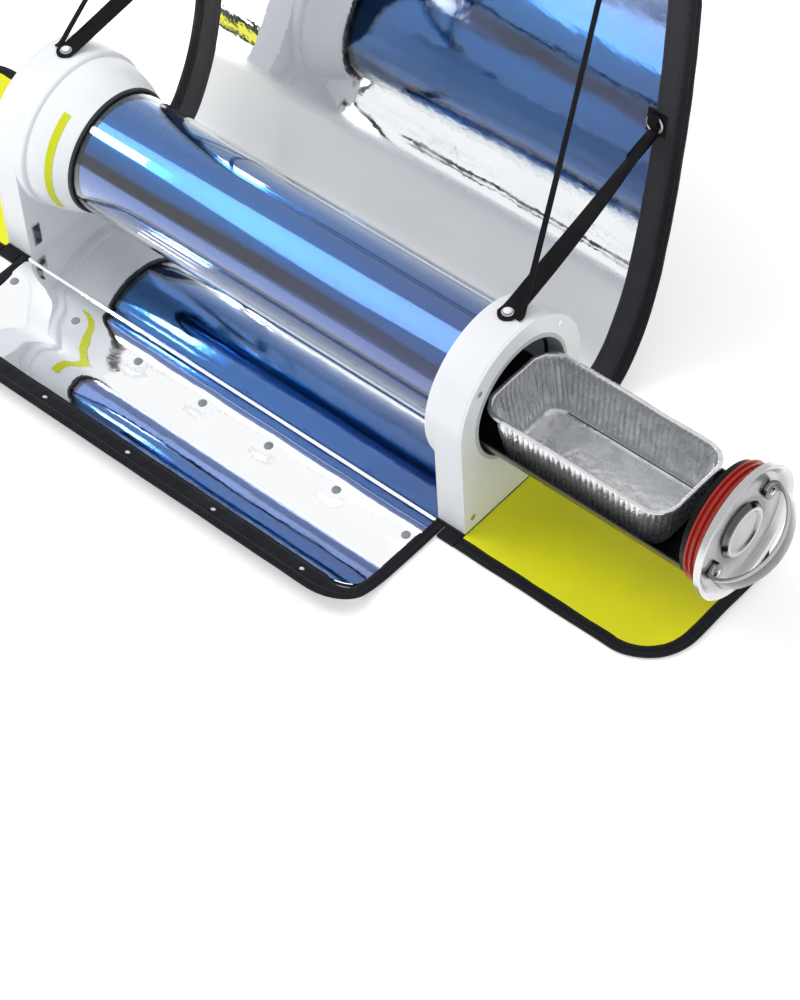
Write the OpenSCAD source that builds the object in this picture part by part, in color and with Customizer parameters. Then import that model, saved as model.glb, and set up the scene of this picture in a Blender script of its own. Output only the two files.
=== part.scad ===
/* [Supports and base] */
// Length over the two end supports
overall_l = 650; // [560:10:760]
// Width of each end support
support_w = 180; // [170:2:200]
// Thickness of each end support
support_t = 35; // [31:1:45]
// Height of the tube's axis above the ground
axis_h = 132; // [122:1:160]
// Wall of the moulded supports
wall = 3; // [2:0.5:4]
// How far each support's round drum stands out towards the tube
drum_out = 13; // [6:1:20]
// Thickness of the plates that close the supports
cover_t = 3; // [2.5:0.5:4]
// Thickness of the base panel
base_t = 5; // [5:0.5:8]
// How far the base panel stands out past the supports, front and back
base_lip = 3; // [1:0.5:8]
// Thickness of the mirror film
mirror_t = 0.8; // [0.5:0.1:1.5]
/* [Glass tube] */
// Outer diameter of the clear glass tube
glass_d = 138; // [126:1:140]
// Wall of each glass tube
glass_t = 2; // [1.5:0.1:2.6]
// Vacuum gap between the two glass tubes
vacuum_gap = 3; // [2.4:0.1:4]
// Length of the white collar on the tube's closed end
collar_l = 49; // [35:1:70]
// Width of the black ring at the collar's mouth
ring_w = 3.5; // [3:0.5:10]
// Depth of the mouth in front of the open glass rim
mouth_depth = 20; // [19:1:26]
/* [Tray and pan] */
// How far the tray is pulled out
tray_out = 265; // [245:5:320]
// Gap left inside the tube behind the pushed-in trough
trough_gap = 14; // [4:1:60]
// Sheet thickness of the trough
trough_t = 1.6; // [1:0.1:2.5]
// Running gap between the trough and the inner glass tube
tray_gap = 0.3; // [0.2:0.1:1]
// How far the trough's edges lie below the tube's axis
trough_drop = 15; // [8:1:25]
// Gap between the foil pan and the plug disc
pan_gap = 23; // [5:1:40]
// Length of the foil pan over its rim
pan_l = 230; // [180:2:236]
// Width of the foil pan over its rim
pan_w = 110; // [96:1:112]
// Depth of the foil pan
pan_depth = 69; // [50:1:70]
// Width of the foil pan's floor
pan_floor_w = 88; // [72:1:90]
// Wall of the foil pan
foil_t = 0.8; // [0.5:0.1:1.2]
// Width of the foil pan's rolled rim
rim_w = 6; // [4:0.5:8]
/* [End cap] */
// Thickness of the black plug disc
plug_t = 6; // [4:1:12]
// Length of the finned silicone seal
seal_l = 18; // [12:1:18]
// Number of fins on the seal
fins = 3; // [2:1:4]
// Radius of the steel end plate
plate_r = 73; // [71:1:78]
// Thickness of the steel end plate's sheet
plate_t = 1.6; // [1.2:0.1:2.5]
// Depth of the end plate's dish
dish = 8; // [4:0.5:10]
// Distance between the handle's two feet
handle_span = 116; // [96:1:116]
// How far the handle arches out from the plate
handle_reach = 46; // [36:1:60]
// Width of the handle's flat bar
handle_w = 20; // [12:1:20]
// Thickness of the handle's flat bar
handle_t = 4.5; // [2:0.5:5]
// Tilt of the handle about the tube's axis
handle_tilt = 27; // [0:1:60]
/* [Wings and flaps] */
// Thickness of the stiff fabric-covered board in the wings
board_t = 3.5; // [2.5:0.5:4]
// Thickness of the sewn edge bindings
binding_t = 5; // [4.5:0.5:6]
// How much shorter than the case the front wing is, at each end
front_inset = 24; // [10:1:40]
// Length of the front wing along its sheet, from its crease to its edge
front_chord = 164; // [140:2:180]
// Radius of the front wing's upward bend
front_r = 125; // [110:5:200]
// Height of the back wing measured along its sheet
back_sheet = 560; // [500:10:600]
// Radius of the back wing's bend next to its crease
back_bend_r = 79; // [70:1:110]
// Radius of its slower curve above the bend
back_curve_r = 285; // [240:5:340]
// Radius of the corners of the wings
wing_corner = 42; // [30:1:60]
// Width of the wings' side bindings
side_band = 14; // [10:1:20]
// Width of the front wing's front binding
front_band = 34; // [24:1:40]
// Width of the grey border inside the back wing's binding
grey_band = 24; // [16:1:32]
// Length of each end flap
flap_l = 256; // [200:2:264]
// How far each end flap stands out past the base, front and back
flap_over = 15; // [6:1:24]
// Radius of the end flaps' corners
flap_corner = 62; // [40:2:80]
// Radius of the rivet heads along the front crease
rivet_r = 5; // [4:0.5:8]
// Number of rivets along the front crease
rivets = 7; // [4:1:9]
// Number of small tacks along the front binding
tacks = 5; // [3:1:9]
/* [Straps] */
// Width of the wide straps
strap_w = 20; // [14:1:26]
// Width of the thin straps
thin_w = 6; // [4:0.5:8]
// Thickness of the strap webbing
strap_t = 1.6; // [1:0.1:2.2]
// Distance of the wide straps' tabs from the back crease, along the sheet
tab_at = 364; // [300:2:420]

/* [Hidden] */
$fn = 96;

// Clearance between curved faces that meet, and under pieces that rest on something
fit = 0.2;
seat = 0.3;
// Gap at the creases, where the covering fabric bends
crease = 0.5;
// Thickness of each of an end flap's two cloths
flap_cloth_t = 1.9;
// Height of every crease's fold line
fold_z = base_t;
// How far the bindings start from their crease
binding_start = 1;
// Radius of a cover screw's shank and of its head, and its length
screw_r = 1.5;
screw_head_r = 3.5;
screw_l = 13;
post_r = 5;

// Stations along the tube, with the right support's faces on the plus side
half_l = overall_l / 2;
inner_x = half_l - support_t;
drum_x = inner_x - drum_out;
half_w = support_w / 2;
base_y = half_w + base_lip;
flap_y = base_y + flap_over;
front_l = overall_l - 2 * front_inset;
back_l = overall_l;
cover_x = half_l - cover_t;

// Radii of the tube and of what goes round it
glass_r = glass_d / 2;
absorber_r = glass_r - glass_t - vacuum_gap;
bore_r = absorber_r - glass_t;
bushing_r = glass_r + 5;
mouth_r = bore_r + 3;
gasket_r = mouth_r + 3;
glass_end = half_l - mouth_depth;
lip = 1.2;
dome_x = -drum_x + 36;
ring_x = -drum_x + collar_l;

// Stations of the tray, with the end plate's inner face as its zero
plate_x = half_l + tray_out;
handle_x = plate_x + plate_t;
boss_r = 27;
seal_x = plate_x - seal_l;
plug_x = seal_x - plug_t;
trough_r = bore_r - tray_gap;
trough_l = half_l + lip + seat - seal_l - plug_t - dome_x - trough_gap;
pan_x = plug_x - pan_gap - pan_l / 2;
// Round lower edges of the pan, which rest on the trough and so set the height of its floor
pan_floor_r = 8;
pan_end_lean = 12;
pan_edge_y = pan_floor_w / 2 - pan_floor_r;
pan_edge_r = trough_r - trough_t - seat - pan_floor_r;
pan_floor_z = axis_h - sqrt(pan_edge_r * pan_edge_r - pan_edge_y * pan_edge_y) - pan_floor_r;
rim_z = pan_floor_z + pan_depth;

// Bends of the wings' sheets from their creases: the length of each and its radius, 0 where it is flat
lean_r = 1600;
back_bends = [
    [21, 0], [back_bend_r * 54 * PI / 180, back_bend_r], [back_curve_r * 21 * PI / 180, back_curve_r],
    [back_sheet, lean_r]
];
front_bends = [[76, 0], [front_r * 24 * PI / 180, front_r], [front_chord, lean_r]];
rivet_d = 33;
// Full thickness of the wings where their bindings wrap them
front_binding_t = binding_t + 0.5;
back_binding_t = binding_t + 1;
border_top = board_t + mirror_t + 0.4;

// Bosses that take the cover screws, as places across the support
boss_low = [half_w - 13, base_t + 15];
boss_arc = glass_r + 11.5;
boss_places = [
    for (side = [-1, 1]) [side * boss_low[0], boss_low[1]],
    for (side = [-1, 1]) [side * boss_arc * cos(42), axis_h + boss_arc * sin(42)]
];
// Places of the screws that hold the supports on the base
base_screw_y = half_w - 30;
base_screw_x = inner_x + wall + 10;
base_shank_r = 1.8;
base_head_r = 4;

// Wide strap's stud on a support, thin strap's foot, and the thin straps' upper ends
stud_x = half_l - 25;
stud_y = 12;
thin_x = half_l - 12;
thin_y = 12;
thin_top_right = half_l - 107;
thin_top_left = 30 - half_l;
thin_tab = 16;
thin_tab_at = back_sheet - side_band - thin_tab;
tab_x = half_l - 35;
tab_size = 24;
tab_t = 2;
ring_r = 9;
ring_wire = 1.5;

// A place on the underside of a sheet, at a distance along it: how far out, how far up and its heading
function sheet_place(s, bends, i = 0, y = 0, z = 0, h = 0) =
    let (r = bends[i][1], part = i < len(bends) - 1 ? min(s, bends[i][0]) : s)
    let (h1 = r == 0 ? h : h + part / r * 180 / PI)
    let (y1 = r == 0 ? y + part * cos(h) : y + r * (sin(h1) - sin(h)))
    let (z1 = r == 0 ? z + part * sin(h) : z + r * (cos(h) - cos(h1)))
    s > part ? sheet_place(s - part, bends, i + 1, y1, z1, h1) : [y1, z1, h1];
// A point at a distance along a sheet and above its underside
function sheet_point(s, off, bends) =
    let (p = sheet_place(s, bends))
    [p[0] - off * sin(p[2]), p[1] + off * cos(p[2])];
function back_point(s, off) = sheet_point(s, off, back_bends);
function front_point(s, off) = sheet_point(s, off, front_bends);
// Places along a sheet, the same ones in every layer, so that the layers lie face to face
pitch = 14;
function stations(s0, s1) = concat([s0],
    [for (i = [ceil((s0 + 1) / pitch):floor((s1 - 1) / pitch)]) i * pitch], [s1]);
function backwards(list) = [for (i = [1:len(list)]) list[len(list) - i]];
function back_outline(s0, s1, o0, o1) = concat(
    [for (s = stations(s0, s1)) back_point(s, o0)],
    [for (s = backwards(stations(s0, s1))) back_point(s, o1)]);
function front_outline(s0, s1, o0, o1) = concat(
    [for (s = stations(s0, s1)) front_point(s, o0)],
    [for (s = backwards(stations(s0, s1))) front_point(s, o1)]);

front_reach = front_point(front_chord, 0)[0];
back_top = back_point(back_sheet, 0)[1];
back_depth = back_point(back_sheet, 0)[0] + 20;

// Extrudes an outline drawn in Y and Z along the tube, from x0 to x1
module along(x0, x1) {
    translate([x0, 0, 0]) rotate([90, 0, 90]) linear_extrude(x1 - x0) children();
}

// Extrudes an outline drawn in X and Z across the tube, from y0 to y1
module across(y0, y1) {
    translate([0, y1, 0]) rotate([90, 0, 0]) linear_extrude(y1 - y0) children();
}

// Turns an outline of radius and place along the tube about the tube's axis
module turned(points) {
    translate([0, 0, axis_h]) rotate([0, 90, 0]) rotate_extrude() polygon(points);
}

// A plain tube or disc about the tube's axis
module tube_part(x0, x1, r_out, r_in) {
    turned([[r_in, x0], [r_out, x0], [r_out, x1], [r_in, x1]]);
}

// Rectangle from its low corner with all four corners round
module round_rect(x, y, w, h, r) {
    translate([x + r, y]) square([w - 2 * r, h]);
    translate([x, y + r]) square([w, h - 2 * r]);
    for (cx = [x + r, x + w - r]) {
        for (cy = [y + r, y + h - r]) {
            translate([cx, cy]) circle(r);
        }
    }
}

// Outline of a support: upright sides and a round top
module arch_2d(r, z0) {
    translate([-r, z0]) square([2 * r, axis_h - z0]);
    translate([0, axis_h]) circle(r);
}

// A screw along the tube with a countersunk head, its head's face at x = 0
module long_screw(play) {
    rotate([0, 90, 0]) rotate_extrude($fn = 32) polygon([
        [0, -screw_l - play], [screw_r + play, -screw_l - play], [screw_r + play, -2],
        [screw_head_r + play, 0], [screw_head_r + play, play], [0, play]
    ]);
}

// A support's moulded shell, drawn for the right end
module support_shell() {
    difference() {
        union() {
            along(inner_x, cover_x) arch_2d(half_w, base_t);
            turned([
                [bushing_r, drum_x], [half_w - 3, drum_x], [half_w - 0.9, drum_x + 0.9],
                [half_w, drum_x + 3], [half_w, inner_x + 1], [bushing_r, inner_x + 1]
            ]);
        }
        along(inner_x + wall, half_l) arch_2d(half_w - wall, base_t + wall);
        tube_part(drum_x + wall, inner_x + wall + 1, half_w - wall, 0);
        tube_part(drum_x - 1, inner_x + wall + 1, bushing_r, 0);
        base_screw_cuts();
    }
    for (place = boss_places) {
        difference() {
            translate([0, place[0], place[1]]) rotate([0, 90, 0])
                translate([0, 0, drum_x + wall - 1]) cylinder(r = post_r, h = cover_x - drum_x - wall + 1);
            translate([half_l, place[0], place[1]]) long_screw(0.1);
            if (abs(place[0]) == boss_low[0]) tube_part(drum_x - 1, inner_x + wall - 1, 2 * half_w, 0);
            if (abs(place[0]) == boss_low[0])
                translate([drum_x - 1, -half_w, 0]) cube([drum_out + wall, support_w, axis_h]);
        }
    }
    for (side = [-1, 1]) {
        difference() {
            translate([base_screw_x, side * base_screw_y, base_t + wall - 1]) cylinder(r = post_r, h = 10);
            base_screw_cuts();
        }
    }
}

// Cuts for the screws under one support
module base_screw_cuts() {
    for (side = [-1, 1]) {
        translate([base_screw_x, side * base_screw_y, 0]) base_screw(0.1);
    }
}

// A screw that comes up through the base panel
module base_screw(play) {
    translate([0, 0, 0.4]) rotate_extrude($fn = 32) polygon([
        [0, -play], [base_head_r + play, -play], [base_head_r + play, 0.6], [base_shank_r + play, 2.8],
        [base_shank_r + play, base_t + 10 + play], [0, base_t + 10 + play]
    ]);
}

// Radius of the collar's outside at a share of its length
collar_r0 = half_w - 4;
collar_r1 = glass_r + 3.5;
collar_bend = 75;
function collar_out(t) =
    collar_r1 + (collar_r0 - collar_r1) * (cos(collar_bend * t) - cos(collar_bend)) / (1 - cos(collar_bend));
collar_steps = 12;
stripe_t0 = 0.50;
stripe_t1 = 0.67;
stripe_start_angle = 120;
stripe_end_angle = 210;
stripe_depth = 1.4;

// Wedge that keeps the part of a ring between two angles, from +Y towards +Z
module wedge(x0, x1, a0, a1) {
    along(x0, x1) translate([0, axis_h])
        polygon([[0, 0], for (i = [0:6]) let (a = a0 + (a1 - a0) * i / 6) 2 * half_w * [cos(a), sin(a)]]);
}

// Outline of a flap drawn from its crease at x = 0, inset all round but the crease
module flap_2d(inset) {
    r = flap_corner - inset;
    tip = flap_l - inset;
    edge = flap_y - inset;
    translate([0, -edge]) square([tip - r, 2 * edge]);
    for (side = [-1, 1]) {
        translate([tip - r, side * (edge - r)]) circle(r);
    }
    translate([tip - r, r - edge]) square([r, 2 * (edge - r)]);
}

// One layer of the right flap
module flap_layer(z0, z1, inset) {
    translate([half_l + crease, 0, z0]) linear_extrude(z1 - z0) flap_2d(inset);
}

module flap_shell_part() { flap_layer(0, flap_cloth_t, side_band); }

module flap_lining_part() { flap_layer(flap_cloth_t, 2 * flap_cloth_t, side_band); }

module flap_binding_part() {
    difference() {
        flap_layer(0, binding_t, 0);
        flap_layer(-1, binding_t + 1, side_band);
        translate([half_l, side_band - flap_y, -1]) cube([1, 2 * (flap_y - side_band), binding_t + 2]);
    }
}

// A stretch of one of the wings, between two places along its sheet and two heights above its underside
module back_strip(s0, s1, o0, o1) {
    translate([0, base_y + crease, 0]) along(-back_l / 2, back_l / 2) polygon(back_outline(s0, s1, o0, o1));
}
module front_strip(s0, s1, o0, o1) {
    mirror([0, 1, 0]) translate([0, base_y + crease, 0])
        along(-front_l / 2, front_l / 2) polygon(front_outline(s0, s1, o0, o1));
}

// Outlines that the wings' layers are cut to, inset from the wing's own edge
module back_mask(inset) {
    across(base_y - wing_corner, base_y + back_depth)
        round_rect(-back_l / 2 + inset, -2 * wing_corner, back_l - 2 * inset,
            back_top + 2 * wing_corner - inset, max(wing_corner - inset, 6));
}
module front_mask(inset_side, inset_front) {
    translate([0, 0, -5]) linear_extrude(120) mirror([0, 1, 0])
        round_rect(-front_l / 2 + inset_side, base_y - wing_corner * 2, front_l - 2 * inset_side,
            wing_corner * 2 + crease + front_reach - inset_front, max(wing_corner - inset_side, 6));
}

module base_shell() {
    color("dimgray") difference() {
        translate([-half_l, -base_y, 0]) cube([overall_l, 2 * base_y, base_t]);
        base_screw_cuts();
        mirror([1, 0, 0]) base_screw_cuts();
    }
}

module base_mirror() {
    color("lightsteelblue")
        translate([-inner_x, crease - base_y, base_t]) cube([2 * inner_x, 2 * (base_y - crease), mirror_t]);
}

module base_edge_strips() {
    color("black") for (side = [0, 1]) {
        mirror([side, 0, 0]) translate([front_l / 2 + 1, -flap_y, 0])
            cube([front_inset - 1, flap_over, base_t]);
    }
}

module right_support_body() { color("white") support_shell(); }

module left_support_body() {
    color("white") mirror([1, 0, 0]) support_shell();
}

module cover_plate(hole_r) {
    difference() {
        along(cover_x, half_l) arch_2d(half_w, base_t);
        if (hole_r > 0) tube_part(cover_x - 1, half_l + 1, hole_r, 0);
        for (place = boss_places) {
            translate([half_l, place[0], place[1]]) long_screw(0.1);
        }
    }
}

module right_support_face() { color("gainsboro") cover_plate(gasket_r); }

module left_support_cover() {
    color("gainsboro") mirror([1, 0, 0]) cover_plate(0);
}

module mouth_gasket() {
    color("lightgray") turned([
        [mouth_r, glass_end + fit], [gasket_r - fit, glass_end + fit], [gasket_r - fit, half_l],
        [gasket_r + 1.5, half_l], [gasket_r + 1.5, half_l + lip / 2], [mouth_r + 0.8, half_l + lip],
        [mouth_r, half_l + lip - 0.4]
    ]);
}

module right_tube_bushing() {
    color("dimgray") turned([
        [glass_r + fit, drum_x - 1], [bushing_r + 2, drum_x - 1], [bushing_r + 2, drum_x],
        [bushing_r - fit, drum_x], [bushing_r - fit, drum_x + wall + 4], [glass_r + fit, drum_x + wall + 4]
    ]);
}

module left_collar() {
    color("white") difference() {
        turned(concat(
            [for (i = [0:collar_steps]) let (t = i / collar_steps) [collar_out(t), -drum_x + collar_l * t]],
            [for (i = [0:collar_steps]) let (t = 1 - i / collar_steps)
                [max(collar_out(t) - wall, glass_r + fit + 0.1), -drum_x + collar_l * t]]));
        collar_stripe_ring(10);
    }
}

// The arc of the collar that the yellow stripe fills
module collar_stripe_ring(proud) {
    x0 = -drum_x + collar_l * stripe_t0;
    x1 = -drum_x + collar_l * stripe_t1;
    r0 = collar_out(stripe_t0);
    r1 = collar_out(stripe_t1);
    intersection() {
        turned([[r0 - stripe_depth, x0], [r0 + proud, x0], [r1 + proud, x1], [r1 - stripe_depth, x1]]);
        wedge(x0 - 1, x1 + 1, stripe_start_angle, stripe_end_angle);
    }
}

module collar_stripe() {
    color("yellowgreen") collar_stripe_ring(0.3);
}

module collar_ring() {
    color("black") turned([
        [glass_r + fit, ring_x], [glass_r + 3.4, ring_x], [glass_r + 3, ring_x + ring_w - 1],
        [glass_r + 2.2, ring_x + ring_w], [glass_r + fit, ring_x + ring_w]
    ]);
}

module left_tube_cushion() {
    color("dimgray") difference() {
        tube_part(-cover_x, -cover_x + 24, 42, 30);
        translate([dome_x, 0, axis_h]) sphere(glass_r + fit);
    }
}

latch_y = -half_w + 12;
latch_z = base_t + 26;
module latch_plate() {
    color("silver") difference() {
        translate([-inner_x, latch_y - 5, latch_z - 14]) cube([2, 10, 28]);
        for (side = [-1, 1]) {
            translate([-inner_x - 1, latch_y, latch_z + side * 9]) rotate([0, 90, 0])
                cylinder(r = 1.8, h = 5, $fn = 32);
        }
    }
}

module latch_screws() {
    color("dimgray") for (side = [-1, 1]) {
        translate([-inner_x, latch_y, latch_z + side * 9]) rotate([0, 90, 0]) rotate_extrude($fn = 32)
            polygon([[0, 0], [1.6, 0], [1.6, 2], [3.2, 2], [3.2, 3], [2, 3.8], [0, 3.8]]);
    }
}

module cover_screws() {
    color("silver") for (side = [0, 1], place = boss_places) {
        mirror([side, 0, 0]) translate([half_l, place[0], place[1]]) long_screw(0);
    }
}

module base_screws() {
    color("silver") for (x_side = [-1, 1], y_side = [-1, 1]) {
        translate([x_side * base_screw_x, y_side * base_screw_y, 0]) base_screw(0);
    }
}

// A glass tube with a round closed end on the left and an open end on the right
module closed_tube(r) {
    difference() {
        union() {
            tube_part(dome_x, glass_end, r, 0);
            translate([dome_x, 0, axis_h]) rotate([0, 90, 0]) sphere(r);
        }
        tube_part(dome_x, glass_end + 1, r - glass_t, 0);
        translate([dome_x, 0, axis_h]) rotate([0, 90, 0]) sphere(r - glass_t);
    }
}

// Tip where the glass was sealed
tip_r = 3.5;
tip_x = dome_x - glass_r - 7;
module outer_glass_tube() {
    color("lightblue", 0.3) {
        difference() {
            union() {
                closed_tube(glass_r);
                tube_part(tip_x, dome_x - glass_r + 1, tip_r, 0);
                tube_part(glass_end - glass_t, glass_end, glass_r - 1, bore_r);
            }
            tube_part(glass_end - glass_t, glass_end + 1, bore_r, 0);
        }
    }
}

module absorber_tube() {
    color("royalblue") difference() {
        closed_tube(absorber_r);
        tube_part(glass_end - glass_t, glass_end + 1, glass_r, 0);
    }
}

module getter_clip() {
    color("silver") intersection() {
        difference() {
            translate([dome_x, 0, axis_h]) sphere(glass_r - glass_t - fit);
            translate([dome_x, 0, axis_h]) sphere(absorber_r + fit);
        }
        tube_part(dome_x - glass_r, dome_x, 30, 20);
    }
}

module tip_cap() {
    color("black") turned([
        [0, tip_x - 2], [6.5, tip_x - 2], [6.5, dome_x - glass_r - 1.2],
        [tip_r + fit, dome_x - glass_r - 1.2], [tip_r + fit, tip_x - fit], [0, tip_x - fit]
    ]);
}

stud_z = axis_h + sqrt(half_w * half_w - stud_y * stud_y);
strap_z = axis_h + half_w + seat;
strap_top = strap_z + strap_t;
module strap_studs() {
    color("white") for (side = [-1, 1]) {
        difference() {
            translate([side * stud_x, stud_y, 0]) rotate_extrude($fn = 32) polygon([
                [0, stud_z - 3], [2.8, stud_z - 3], [2.8, strap_top + 1.4], [4.4, strap_top + 1.6],
                [4.2, strap_top + 2.6], [3, strap_top + 3.2], [0, strap_top + 3.3]
            ]);
            tube_part(-half_l, half_l, half_w, 0);
        }
    }
}

module strap_grommets() {
    color("silver") for (side = [-1, 1]) {
        translate([side * stud_x, stud_y, strap_z]) rotate_extrude($fn = 48) polygon([
            [3, 0], [4, 0], [4, strap_t], [6.5, strap_t], [6.3, strap_t + 0.8], [5, strap_t + 1.2],
            [3.6, strap_t + 0.8], [3, strap_t]
        ]);
    }
}

module tray_trough() {
    color("black") difference() {
        tube_part(plug_x - trough_l, plug_x, trough_r, trough_r - trough_t);
        translate([plug_x - trough_l - 1, -2 * trough_r, axis_h - trough_drop])
            cube([trough_l + 2, 4 * trough_r, 3 * trough_r]);
    }
}

module tray_plug() { color("black") tube_part(plug_x, seal_x, trough_r - 1, 0); }

fin_pitch = seal_l / fins;
module silicone_seal() {
    color("firebrick") turned(concat(
        [[0, seal_x]],
        [for (i = [0:fins - 1]) each [
            [mouth_r - 3.4, seal_x + fin_pitch * i],
            [mouth_r - fit, seal_x + fin_pitch * (i + 0.3)],
            [mouth_r - fit, seal_x + fin_pitch * (i + 0.55)],
            [mouth_r - 3.4, seal_x + fin_pitch * (i + 0.8)]
        ]],
        [[mouth_r - 3.4, plate_x], [0, plate_x]]));
}

module end_plate() {
    color("silver") turned([
        [0, plate_x], [plate_r - 2, plate_x], [plate_r, plate_x + plate_t], [plate_r, plate_x + dish],
        [plate_r - 1.2, plate_x + dish + 1], [plate_r - 2.6, plate_x + dish],
        [plate_r - 5, plate_x + dish - 1], [plate_r - 11, handle_x], [boss_r + 4, handle_x],
        [boss_r, plate_x + dish - 1], [boss_r - 4, plate_x + dish - 1], [boss_r - 6, plate_x + dish - 3],
        [0, plate_x + dish - 3]
    ]);
}

// Length of each foot, turned in under the arch, and where its rivet sits
foot_l = 18;
foot_y = handle_span / 2 - foot_l + 6;
handle_rivet_r = 2;
// A point of the handle's arch for a given half span and reach
function arch_point(half, reach, a) = [half * cos(a) * (1 - 0.12 * pow(sin(a), 2)), reach * pow(sin(a), 0.8)];
arch_steps = 24;

// Sets what is drawn with its foot plane at x = 0 on the end plate, turned to the handle's tilt
module on_end_plate() {
    translate([handle_x, 0, axis_h]) rotate([handle_tilt, 0, 0]) children();
}

module handle() {
    half = handle_span / 2;
    reach = handle_reach - handle_t;
    outer = [for (i = [0:arch_steps]) arch_point(half, reach, 180 * i / arch_steps) + [0, handle_t]];
    inner = [for (i = [0:arch_steps]) arch_point(half - handle_t, reach, 180 - 180 * i / arch_steps)];
    color("silver") on_end_plate() difference() {
        translate([0, 0, -handle_w / 2]) linear_extrude(handle_w) union() {
            rotate(-90) mirror([1, 0]) polygon(concat(outer, inner));
            for (side = [-1, 1]) {
                translate([0, side * (half - foot_l / 2) - foot_l / 2]) square([handle_t, foot_l]);
            }
        }
        for (side = [-1, 1]) {
            translate([-1, side * foot_y, 0]) rotate([0, 90, 0])
                cylinder(r = handle_rivet_r + 0.1, h = 10, $fn = 32);
        }
    }
}

module handle_rivets() {
    color("silver") on_end_plate() for (side = [-1, 1]) {
        translate([0, side * foot_y, 0]) rotate([0, 90, 0]) rotate_extrude($fn = 32) polygon([
            [0, 0], [handle_rivet_r, 0], [handle_rivet_r, handle_t], [4, handle_t], [3.4, handle_t + 1.2],
            [2, handle_t + 1.8], [0, handle_t + 1.9]
        ]);
    }
}

// Solid form of the pan, drawn in by an inset: a cross-section along the tube met by one across it
module pan_form(inset, z_top) {
    floor_z = pan_floor_z + inset;
    half_floor = pan_floor_w / 2 - inset;
    half_rim = pan_w / 2 - rim_w + foil_t - inset;
    r = pan_floor_r - inset;
    body_l = pan_l - 2 * rim_w + 2 * foil_t - 2 * inset;
    intersection() {
        along(pan_x - body_l / 2, pan_x + body_l / 2) {
            translate([-half_floor + r, floor_z]) square([2 * (half_floor - r), r]);
            for (side = [-1, 1]) {
                translate([side * (half_floor - r), floor_z + r]) circle(r);
            }
            polygon([
                [-half_floor, floor_z + r], [half_floor, floor_z + r], [half_rim, z_top], [-half_rim, z_top]
            ]);
        }
        across(-pan_w, pan_w) translate([pan_x, 0]) polygon([
            [-body_l / 2 + pan_end_lean, floor_z], [body_l / 2 - pan_end_lean, floor_z],
            [body_l / 2, z_top], [-body_l / 2, z_top]
        ]);
        translate([0, 0, floor_z - 1]) linear_extrude(z_top - floor_z + 2)
            round_rect(pan_x - body_l / 2, -half_rim, body_l, 2 * half_rim, 24 - inset);
    }
}

module loaf_pan() {
    color("silver") difference() {
        union() {
            pan_form(0, rim_z);
            translate([0, 0, rim_z - 2.4]) linear_extrude(2.4)
                round_rect(pan_x - pan_l / 2, -pan_w / 2, pan_l, pan_w, 28);
        }
        pan_form(foil_t, rim_z + 5);
    }
}

// Places of the rivets along the front crease
module front_rivet_places() {
    first = side_band + rivet_r + 3 - front_l / 2;
    for (i = [0:rivets - 1]) {
        translate([first - 2 * first * i / (rivets - 1), -base_y - crease - rivet_d, 0]) children();
    }
}

// Places of the small tacks that hold the front binding, with +Z out of the binding
tack_at = front_chord - front_band / 2 - 1;
module front_tack_places() {
    place = front_point(tack_at, 0);
    first = wing_corner + 20 - front_l / 2;
    for (i = [0:tacks - 1]) {
        translate([first - 2 * first * i / (tacks - 1), -base_y - crease - place[0], place[1]])
            rotate([-sheet_place(tack_at, front_bends)[2], 0, 0]) children();
    }
}
rivet_shank = 2;
tack_shank = 1;

module front_wing_shell() {
    color("black") difference() {
        intersection() {
            front_strip(0, front_chord, 0, board_t);
            front_mask(side_band, front_band);
        }
        front_rivet_places() translate([0, 0, -1]) cylinder(r = rivet_shank + 0.1, h = 20, $fn = 32);
    }
}

module front_wing_mirror() {
    color("lightsteelblue") difference() {
        intersection() {
            front_strip(binding_start, front_chord, board_t, board_t + mirror_t);
            front_mask(side_band, front_band);
        }
        front_rivet_places() translate([0, 0, -1]) cylinder(r = rivet_shank + 0.1, h = 20, $fn = 32);
    }
}

module front_wing_binding() {
    color("black") difference() {
        intersection() {
            front_strip(binding_start, front_chord, 0, front_binding_t);
            front_mask(0, 0);
        }
        front_mask(side_band, front_band);
        front_tack_places() cylinder(r = tack_shank + 0.1, h = 20, center = true, $fn = 32);
    }
}

module front_wing_tacks() {
    color("white") front_tack_places() rotate_extrude($fn = 32) polygon([
        [0, 1], [tack_shank, 1], [tack_shank, front_binding_t + 0.1], [2.6, front_binding_t + 0.1],
        [2.2, front_binding_t + 0.7], [0, front_binding_t + 1]
    ]);
}

module front_wing_rivets() {
    top = board_t + mirror_t;
    color("gray") front_rivet_places() rotate_extrude($fn = 48) polygon([
        [0, 0.3], [rivet_shank, 0.3], [rivet_shank, top], [rivet_r, top], [rivet_r - 0.6, top + 0.8],
        [rivet_r - 2.5, top + 1.2], [0, top + 1.3]
    ]);
}

module back_wing_shell() {
    color("black") intersection() {
        back_strip(0, back_sheet, 0, board_t);
        back_mask(side_band);
    }
}

module back_wing_mirror() {
    color("lightsteelblue") intersection() {
        back_strip(binding_start, back_sheet, board_t, board_t + mirror_t);
        back_mask(side_band + grey_band);
    }
}

module back_wing_border() {
    color("dimgray") difference() {
        intersection() {
            back_strip(binding_start, back_sheet, board_t, border_top);
            back_mask(side_band);
        }
        back_mask(side_band + grey_band);
    }
}

module back_wing_binding() {
    color("black") difference() {
        intersection() {
            back_strip(binding_start, back_sheet, 0, back_binding_t);
            back_mask(0);
        }
        back_mask(side_band);
    }
}

// Sets what is drawn flat at a place of the back wing's sheet, with +Z out of its mirror
module on_back_sheet(x, s, off) {
    place = back_point(s, off);
    heading = sheet_place(s, back_bends)[2];
    translate([x, base_y + crease + place[0], place[1]]) rotate([heading, 0, 0]) children();
}

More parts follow.
